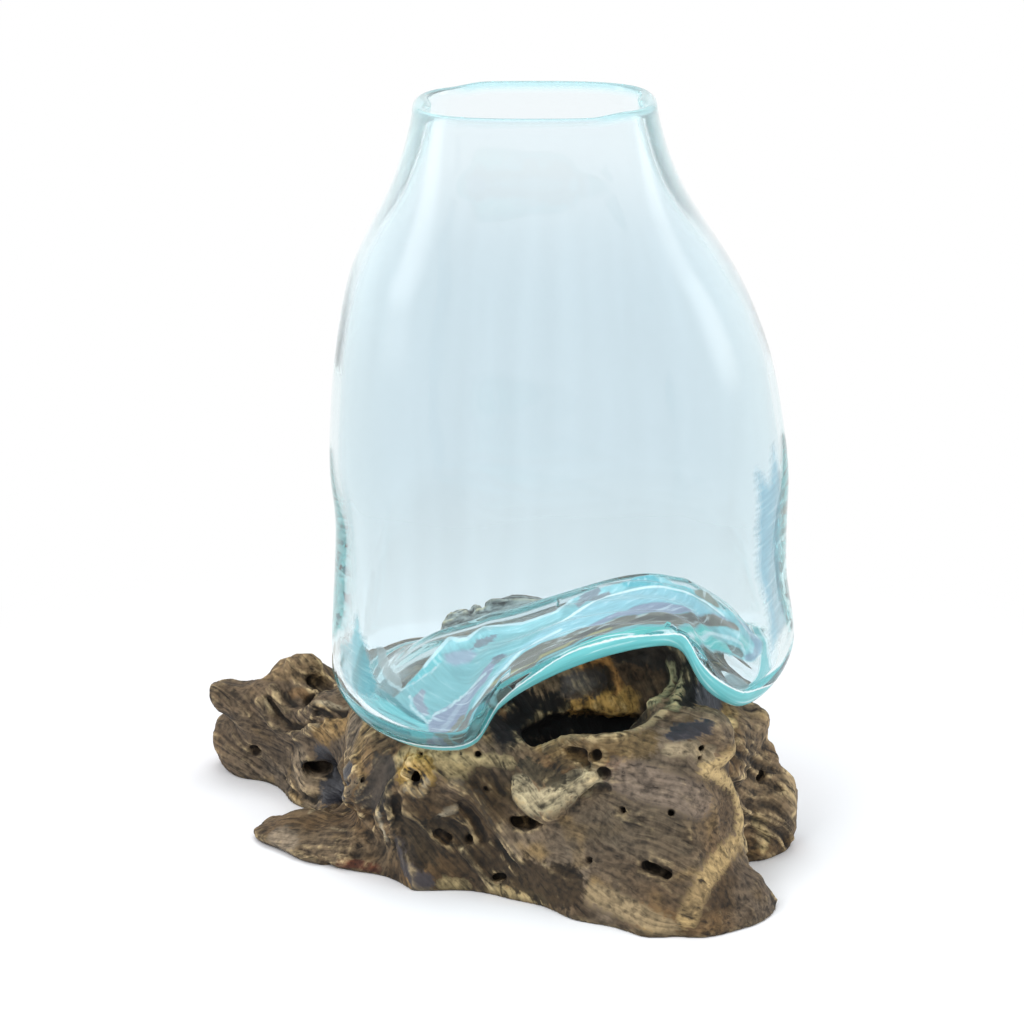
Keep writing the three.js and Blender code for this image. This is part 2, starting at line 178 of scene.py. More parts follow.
@dataclass(frozen=True)
class WoodFinish:
    """The wood's finish: its roughness, relief and fibres, the colours of its patches, edges and cracks, and the
    painted shade of its hollows and of its foot by the floor.

    Sizes are in mm and colours sRGB, 0 to 255.
    """

    dull: float = 0.85
    polished: float = 0.28
    relief: float = 0.6
    relief_depth: float = 1.0
    coarse_height: float = 1.5
    grit_height: float = 0.6
    grit_size: float = 3.0
    fibre_width: float = 2.0
    fibre_length: float = 22.0
    speck_scale: float = 420.0
    fibre_dark: float = 0.33
    fibre_bright: float = 1.78
    crack_below: float = 0.345
    worn_share: float = 0.7
    most_stray: float = 6.0
    hollow_shade: float = 0.85
    patch_sizes: Vector3 = (34, 11, 6)
    dark_share: float = 0.8
    ochre_share: float = 0.6
    knot_size: float = 6.5
    knot_height: float = 0.45
    warp_size: float = 26.0
    run_warp: float = 9.0
    fibre_warp: float = 6.0
    strand_sizes: tuple[Vector3, ...] = ((40, 8.5, 8.5), (26, 4.2, 4.2), (14, 2.7, 2.7))
    strand_heights: Vector3 = (0.5, 0.45, 0.3)
    strand_sharpness: float = 2.4
    strand_level: float = 0.35
    sharp_height: float = 0.32
    sharp_share: float = 0.75
    broad_height: float = 1.5
    broad_share: float = 0.45
    worn_above: float = 0.25
    hollow_below: float = 0.05
    floor_shade: float = 0.6
    floor_reach: float = 3.5
    tone: float = 0.9
    brown: Colour = (90, 69, 43)
    grey: Colour = (98, 86, 71)
    dark: Colour = (46, 34, 20)
    ochre: Colour = (132, 108, 66)
    pale: Colour = (178, 158, 118)
    crack: Colour = (24, 18, 13)


@dataclass(frozen=True)
class FloorFinish:
    """The pale floor, which turns to plain white away from the object."""

    shade: Vector3 = (0.9, 0.905, 0.93)
    inner: float = 0.16
    outer: float = 0.42


class Curve:
    """An even cubic curve through rows of [position, value, ...]."""

    def __init__(self, rows: list[list[float]]) -> None:
        """Stores the rows and their slopes.

        Args:
            rows: Positions in rising order, each with its values.
        """
        self.table = np.array(rows, float)
        position, values = self.table[:, 0], self.table[:, 1:]
        before = np.maximum(np.arange(len(rows)) - 1, 0)
        after = np.minimum(np.arange(len(rows)) + 1, len(rows) - 1)
        self.slope = (values[after] - values[before]) / (position[after] - position[before])[:, None]

    def __call__(self, at: np.ndarray, column: int = 0) -> np.ndarray:
        """Value of one column at each position.

        Args:
            at: Positions.
            column: Which value, counted from 0.

        Returns:
            The values, held at the ends.
        """
        position, value = self.table[:, 0], self.table[:, 1 + column]
        at = np.clip(at, position[0], position[-1])
        i = np.clip(np.searchsorted(position, at, side="left") - 1, 0, len(position) - 2)
        step = position[i + 1] - position[i]
        t = (at - position[i]) / step
        rise = value[i + 1] - value[i]
        a = self.slope[i, column] * step - rise
        b = rise - self.slope[i + 1, column] * step
        return value[i] + t * rise + t * (1 - t) * (a * (1 - t) + b * t)


def smooth(t: np.ndarray) -> np.ndarray:
    """Eases 0 to 1, flat at both ends."""
    c = np.clip(t, 0, 1)
    return c * c * (3 - 2 * c)


def linear(colour: Colour) -> np.ndarray:
    """Linear RGB of an sRGB colour given 0 to 255."""
    c = np.array(colour, float) / 255
    return np.where(c <= 0.04045, c / 12.92, ((c + 0.055) / 1.055) ** 2.4)


def distance_to(corners: np.ndarray, x: np.ndarray, y: np.ndarray, closed: bool = True) -> np.ndarray:
    """Distance in a plane to a line, or to an outline.

    Args:
        corners: The line's corners, N by 2.
        x: First coordinate of the points.
        y: Second coordinate of the points.
        closed: Whether the line is an outline.

    Returns:
        The distance at each point, below 0 inside an outline.
    """
    nearest, inside = np.full(x.shape, 1e9), np.zeros(x.shape, bool)
    for (ax, ay), (bx, by) in zip(corners, np.roll(corners, -1, 0) if closed else corners[1:]):
        ex, ey = bx - ax, by - ay
        t = np.clip(((x - ax) * ex + (y - ay) * ey) / (ex * ex + ey * ey), 0, 1)
        nearest = np.minimum(nearest, np.hypot(x - ax - t * ex, y - ay - t * ey))
        inside ^= ((ay > y) != (by > y)) & (x < ax + (y - ay) * ex / (ey if ey else 1e-9))
    return np.where(inside, -nearest, nearest) if closed else nearest


class Noise:
    """Smooth random values over space, the same on every run."""

    SIZE = 4096

    def __init__(self, seed: int) -> None:
        """Fills the table of lattice values from the seed."""
        self.values = np.random.default_rng(seed).uniform(-1, 1, self.SIZE)

    def __call__(self, p: np.ndarray) -> np.ndarray:
        """One octave of noise.

        Args:
            p: Points, N by 3, one lattice cell per unit.

        Returns:
            A value from -1 to 1 at each point.
        """
        base = np.floor(p).astype(np.int64)
        f = p - base
        f = f * f * (3 - 2 * f)
        total = np.zeros(len(p))
        for o in CORNERS:
            c = base + np.array(o)
            key = (c[:, 0] * 73856093) ^ (c[:, 1] * 19349663) ^ (c[:, 2] * 83492791)
            weight = np.prod(np.where(o, f, 1 - f), axis=1)
            total += weight * self.values[key % self.SIZE]
        return total

    def layers(self, p: np.ndarray, octaves: int = 3, fall: float = 0.5) -> np.ndarray:
        """Sum of octaves, each twice as fine as the last.

        Args:
            p: Points, N by 3.
            octaves: How many.
            fall: Share of each octave's height that the next one has.

        Returns:
            A value from about -1 to 1 at each point.
        """
        total, height, whole = np.zeros(len(p)), 1.0, 0.0
        for k in range(octaves):
            total += height * self(p * 2.0**k + 17.3 * k)
            whole += height
            height *= fall
        return total / whole


def new_object(name: str, vertices: np.ndarray, faces: np.ndarray) -> bpy.types.Object:
    """Makes a smooth-shaded mesh object at the origin.

    Args:
        name: The piece's name.
        vertices: N by 3, in mm.
        faces: Triangles or quads, M by 3 or M by 4.

    Returns:
        The linked object.
    """
    mesh = bpy.data.meshes.new(name)
    sides = faces.shape[1]
    mesh.vertices.add(len(vertices))
    mesh.vertices.foreach_set("co", (vertices * MM).astype(np.float32).ravel())
    mesh.loops.add(faces.size)
    mesh.loops.foreach_set("vertex_index", faces.astype(np.int32).ravel())
    mesh.polygons.add(len(faces))
    mesh.polygons.foreach_set("loop_start", np.arange(0, faces.size, sides, dtype=np.int32))
    mesh.polygons.foreach_set("use_smooth", np.ones(len(faces), bool))
    mesh.update(calc_edges=True)
    mesh.validate()
    obj = bpy.data.objects.new(name, mesh)
    bpy.context.scene.collection.objects.link(obj)
    return obj


def set_attribute(obj: bpy.types.Object, name: str, values: np.ndarray) -> None:
    """Stores a number, or a row of three, per vertex of a mesh object."""
    if values.ndim == 1:
        obj.data.attributes.new(name, "FLOAT", "POINT").data.foreach_set("value", values.astype(np.float32))
        return
    rgba = np.ones((len(values), 4), np.float32)
    rgba[:, :3] = values
    obj.data.attributes.new(name, "FLOAT_COLOR", "POINT").data.foreach_set("color", rgba.ravel())


class Nodes:
    """Adds and joins the nodes of one tree."""

    def __init__(self, tree: bpy.types.NodeTree) -> None:
        """Stores the tree."""
        self.tree = tree

    def add(self, kind: str, **settings: str) -> bpy.types.Node:
        """Adds a node with its settings."""
        node = self.tree.nodes.new(kind)
        for name, value in settings.items():
            setattr(node, name, value)
        return node

    def give(self, target: Socket, value: Socket | float | tuple[float, ...]) -> None:
        """Joins an output to an input, or sets the input."""
        if isinstance(value, Socket):
            self.tree.links.new(value, target)
        else:
            target.default_value = value

    def attribute(self, name: str, output: str = "Fac") -> Socket:
        """An attribute of the mesh."""
        return self.add("ShaderNodeAttribute", attribute_name=name).outputs[output]

    def named(self, name: str) -> Socket:
        """A number that the mesh carries, in Geometry Nodes."""
        node = self.add("GeometryNodeInputNamedAttribute", data_type="FLOAT")
        node.inputs["Name"].default_value = name
        return node.outputs["Attribute"]

    def value(self, number: float) -> Socket:
        """A plain number."""
        output = self.add("ShaderNodeValue").outputs[0]
        output.default_value = number
        return output

    def math(self, operation: str, first: Socket, second: Socket | float = 0.0) -> Socket:
        """A sum of one or two values."""
        node = self.add("ShaderNodeMath", operation=operation)
        self.give(node.inputs[0], first)
        self.give(node.inputs[1], second)
        return node.outputs[0]

    def plus(self, first: Socket, second: Socket | float) -> Socket:
        """Two values added."""
        return self.math("ADD", first, second)

    def times(self, first: Socket, second: Socket | float) -> Socket:
        """Two values multiplied."""
        return self.math("MULTIPLY", first, second)

    def noise(self, at: Socket, scale: float, detail: float, distortion: float = 0.0) -> Socket:
        """Noise over a place."""
        node = self.add("ShaderNodeTexNoise")
        for name, value in zip(("Vector", "Scale", "Detail", "Distortion"), (at, scale, detail, distortion)):
            self.give(node.inputs[name], value)
        return node.outputs["Fac"]

    def span(self, value: Socket, low: float, high: float, first: float, last: float) -> Socket:
        """A value carried from low..high to first..last, and held beyond."""
        node = self.add("ShaderNodeMapRange")
        names = ("Value", "From Min", "From Max", "To Min", "To Max")
        for name, number in zip(names, (value, low, high, first, last)):
            self.give(node.inputs[name], number)
        return node.outputs["Result"]

    def scale(self, colour: Socket, by: Socket) -> Socket:
        """A colour made brighter or darker."""
        node = self.add("ShaderNodeVectorMath", operation="SCALE")
        self.give(node.inputs[0], colour)
        self.give(node.inputs["Scale"], by)
        return node.outputs["Vector"]

    def mix_colour(self, share: Socket, base: Socket, over: Socket | Colour) -> Socket:
        """A colour with a share of another over it, which is an output or sRGB from 0 to 255."""
        node = self.add("ShaderNodeMix", data_type="RGBA")
        over = over if isinstance(over, Socket) else (*linear(over), 1)
        for k, value in ((0, share), (6, base), (7, over)):
            self.give(node.inputs[k], value)
        return node.outputs[2]

    def mix_value(self, share: Socket, base: Socket, over: float) -> Socket:
        """A value with a share of a number over it."""
        node = self.add("ShaderNodeMix")
        for k, value in ((0, share), (2, base), (3, over)):
            self.give(node.inputs[k], value)
        return node.outputs[0]

    def mix_shader(self, share: Socket, base: Socket, over: Socket) -> Socket:
        """A shader with a share of another over it."""
        node = self.add("ShaderNodeMixShader")
        for k, value in enumerate((share, base, over)):
            self.give(node.inputs[k], value)
        return node.outputs["Shader"]

    def finish(self, surface: Socket, volume: Socket | None = None) -> None:
        """Adds the output of a material."""
        out = self.add("ShaderNodeOutputMaterial")
        self.give(out.inputs["Surface"], surface)
        if volume:
            self.give(out.inputs["Volume"], volume)


def new_material(name: str) -> tuple[bpy.types.Material, Nodes]:
    """An empty material, and its nodes."""
    mat = bpy.data.materials.new(name)
    mat.use_nodes = True
    mat.node_tree.nodes.clear()
    return mat, Nodes(mat.node_tree)


@dataclass(frozen=True)
class Rows:
    """How many rows of points a skin of the vase has on its wall, its lower edge and its base."""

    wall: int
    heel: int
    base: int


@dataclass(frozen=True)
class VaseShape:
    """The vase's sizes, in mm, and the curves of its plan and underside."""

    rim: float = 322.6
    pocket: float = 62.0
    crest: float = 115.0
    width: float = 195.2
    depth: float = 164.0
    wall: float = 3.2
    base_wall: float = 6.5
    lip: float = 1.3
    rim_step: float = 1.6
    pocket_heel: float = 18.0
    arch_heel: float = 10.0
    corner_extra: float = 4.5
    corner_reach: float = 62.0
    crest_thinning: float = 3.2
    fold_height: float = 0.7
    fold_spacing: float = 13.0
    band_inset: float = 14.0
    degree: float = 1.6
    wall_middle: float = 20.5
    axis: tuple[float, float] = (14, 4)
    corner_power: int = 14
    low_rows: float = 0.6
    uneven: float = 0.35
    wave_sizes: Vector3 = (38.0, 38.0, 70.0)
    outer_wave: float = 55.0
    fold_wander: float = 5.0
    fold_slant: float = 0.22
    fold_size: float = 26.0
    even_rounds: int = 10
    even_share: float = 0.5
    # mm of height over the pocket or over the floor
    thinning: Fade = Fade(12, 36)
    folded: Fade = Fade(70, 26)
    arched: Fade = Fade(84, 8)
    # rows of the skin from the rim, or from the end of the wall
    rim_rows: Fade = Fade(0, 20)
    heel_rows: Fade = Fade(0, -16)
    thinning_rows: Fade = Fade(4, 14)
    folded_rows: Fade = Fade(4, 8)
    even_rows: Fade = Fade(2, 8)
    round_steps: int = 280
    outer_rows: Rows = Rows(90, 12, 24)
    inner_rows: Rows = Rows(70, 12, 100)

    # share of the height, centre x, centre y, width share, depth share, squareness
    plans = Curve([
        [0.0, 21.0, 0.0, 1.0, 1.0, 2.3],
        [0.142, 21.5, 0.0, 1.0, 1.0, 2.3],
        [0.242, 20.4, 0.0, 0.976, 1.0, 2.25],
        [0.326, 20.4, 0.0, 0.971, 1.0, 2.2],
        [0.414, 19.5, 0.0, 0.981, 1.0, 2.2],
        [0.507, 18.3, 0.0, 0.961, 0.98, 2.2],
        [0.595, 16.9, 0.5, 0.926, 0.955, 2.2],
        [0.683, 14.4, 1.5, 0.863, 0.9, 2.2],
        [0.741, 12.4, 2.5, 0.801, 0.85, 2.3],
        [0.798, 11.0, 3.5, 0.714, 0.78, 2.4],
        [0.856, 10.2, 4.2, 0.625, 0.69, 2.6],
        [0.913, 9.7, 4.7, 0.559, 0.61, 2.8],
        [0.967, 9.4, 5.0, 0.518, 0.565, 2.9],
        [1.0, 9.2, 5.0, 0.502, 0.548, 2.9],
    ])
    # direction in degrees and height of the dense lower edge
    bands = Curve([
        [0, 2.5], [60, 2.5], [120, 2.5], [165, 3], [195, 5.5], [215, 6.5], [240, 6.2], [258, 7.5], [270, 10.3],
        [285, 9.8], [298, 8.4], [306, 13], [325, 14], [336, 9], [346, 3], [360, 2.5],
    ])
    # x and share of the rise from pocket to crest, at the front, in the middle and at the rear
    drapes = (
        (-60.0, Curve([
            [-80, 0.08], [-55, 0.02], [-28, 0.04], [-14, 0.15], [-5, 0.45], [12, 0.7], [35, 0.89], [57, 0.96],
            [68, 0.89], [76, 0.6], [84, 0.42], [95, 0.27], [118, 0.28],
        ])),
        (0.0, Curve([
            [-80, 0.15], [-55, 0.15], [-30, 0.46], [0, 0.66], [30, 0.87], [58, 1.0], [75, 0.93], [90, 0.74],
            [100, 0.53], [118, 0.45],
        ])),
        (65.0, Curve([
            [-80, 0.1], [-50, 0.02], [-20, 0.0], [10, 0.1], [40, 0.25], [62, 0.33], [85, 0.22], [100, 0.14],
            [118, 0.16],
        ])),
    )

    def underside(self, x: np.ndarray, y: np.ndarray) -> np.ndarray:
        """Height of the glass underside over points of the plan."""
        (front_y, front), (middle_y, middle), (rear_y, rear) = self.drapes
        near, mid, far = front(x), middle(x), rear(x)
        to_middle = smooth((y - front_y) / (middle_y - front_y))
        to_rear = smooth((y - middle_y) / (rear_y - middle_y))
        share = near + (mid - near) * to_middle + (far - mid) * to_rear
        return self.pocket + share * (self.crest - self.pocket)

    def plan(self, angle: np.ndarray, z: np.ndarray, reach: np.ndarray) -> tuple[np.ndarray, np.ndarray]:
        """Points in plan at a share of the way from the centre to the wall.

        Args:
            angle: Directions in radians.
            z: Heights in mm.
            reach: 1 at the outside of the wall, 0 at the centre.

        Returns:
            x and y in mm.
        """
        share = (z - self.pocket) / (self.rim - self.pocket)
        cx, cy, wide, deep, square = (self.plans(share, k) for k in range(5))
        c = np.abs(np.cos(angle)) / (wide * self.width / 2)
        s = np.abs(np.sin(angle)) / (deep * self.depth / 2)
        radius = (c**square + s**square) ** (-1 / square)
        return cx + reach * radius * np.cos(angle), cy + reach * radius * np.sin(angle)

    def heels(self, angle: np.ndarray) -> tuple[np.ndarray, np.ndarray]:
        """Radius of the rounded lower edge, and the height where the wall meets it, per direction."""
        x, y = self.plan(angle, np.full_like(angle, self.pocket), np.ones_like(angle))
        under = self.underside(x, y)
        lift = (under - self.pocket) / (self.crest - self.pocket)
        radius = self.pocket_heel + (self.arch_heel - self.pocket_heel) * lift
        return radius, under + radius

    def skin(self, rows: Rows) -> np.ndarray:
        """Rows of points on the outside of the glass, from the rim to the middle of the underside.

        Args:
            rows: How many rows there are on each part.

        Returns:
            Rows by directions by 3, in mm.
        """
        angle = np.arange(self.round_steps) * 2 * np.pi / self.round_steps
        radius, top = self.heels(angle)
        dip = self.rim_step * smooth(0.5 - 3 * np.cos(angle - 0.6))
        rim = self.rim - self.lip - dip
        skin = []
        for i in range(rows.wall + 1):
            z = rim + (top - rim) * i / rows.wall
            x, y = self.plan(angle, z, np.ones_like(angle))
            skin.append(np.stack([x, y, z], 1))
        for i in range(1, rows.heel + 1):
            turn = i / rows.heel * np.pi / 2
            x, y = self.plan(angle, top, 1 - 2 * radius / self.depth * (1 - np.cos(turn)))
            z = self.underside(x, y) + radius * (1 - np.sin(turn))
            skin.append(np.stack([x, y, z], 1))
        for i in range(1, rows.base + 1):
            inward = 1 - i / (rows.base + 0.6)
            x, y = self.plan(angle, top, (1 - 2 * radius / self.depth) * inward)
            skin.append(np.stack([x, y, self.underside(x, y)], 1))
        return np.array(skin)

    def ceiling(self, x: np.ndarray, y: np.ndarray) -> np.ndarray:
        """Lowest height of the glass over points of the plan, and a great height outside it."""
        cx, cy = self.plans(np.zeros(1), 0)[0], self.plans(np.zeros(1), 1)[0]
        angle = np.arctan2(y - cy, x - cx)
        radius, top = self.heels(angle.ravel())
        radius, top = radius.reshape(x.shape), top.reshape(x.shape)
        wx, wy = self.plan(angle, top, np.ones_like(angle))
        reach = np.hypot(x - cx, y - cy) / np.hypot(wx - cx, wy - cy)
        inset = np.clip((reach - 1) * self.depth / (2 * radius) + 1, 0, 1)
        heel = radius * (1 - np.sqrt(1 - inset**2))
        return np.where(reach < 1.008, self.underside(x, y) + heel, 1000.0)


def normals_of(grid: np.ndarray) -> np.ndarray:
    """Outward normals of rows of points that run round and down."""
    down = np.empty_like(grid)
    down[1:-1] = grid[2:] - grid[:-2]
    down[0], down[-1] = grid[1] - grid[0], grid[-1] - grid[-2]
    around = np.roll(grid, -1, 1) - np.roll(grid, 1, 1)
    n = np.cross(down, around)
    return n / np.linalg.norm(n, axis=2, keepdims=True)


class Place(Enum):
    """Where a swirl lies in the glass, and what its points mean."""

    FLOOR = "x and y in mm on the glass floor"
    WALL = "direction in degrees and height in mm on the inside of the wall"


@dataclass(frozen=True)
class Swirl:
    """A milky patch or thread in the glass, where the soft glass folded over the knob. Some paint highlights, a
    reflection and the wood seen through the glass.

    Args:
        colour: Its sRGB colour, 0 to 255.
        milk: How milky it is, 0 for clear.
        points: The pairs of numbers of a patch's outline, or of a thread's line.
        half: Half the width of a thread in mm, or 0 for a patch.
        edge: Softness of its edge, in mm.
        ragged: How far its edge strays along the streaks, in mm.
        place: Where it lies.
    """

    colour: Colour
    milk: float
    points: tuple[float, ...]
    half: float = 0.0
    edge: float = 1.0
    ragged: float = 1.0
    place: Place = Place.FLOOR

    def distance(self, x: np.ndarray, y: np.ndarray, stretch: float = 1.0) -> np.ndarray:
        """Distance in mm to its edge, below 0 inside, where x is stretched to mm."""
        corners = np.array(self.points, float).reshape(-1, 2) * (stretch, 1)
        return distance_to(corners, x * stretch, y, not self.half) - self.half
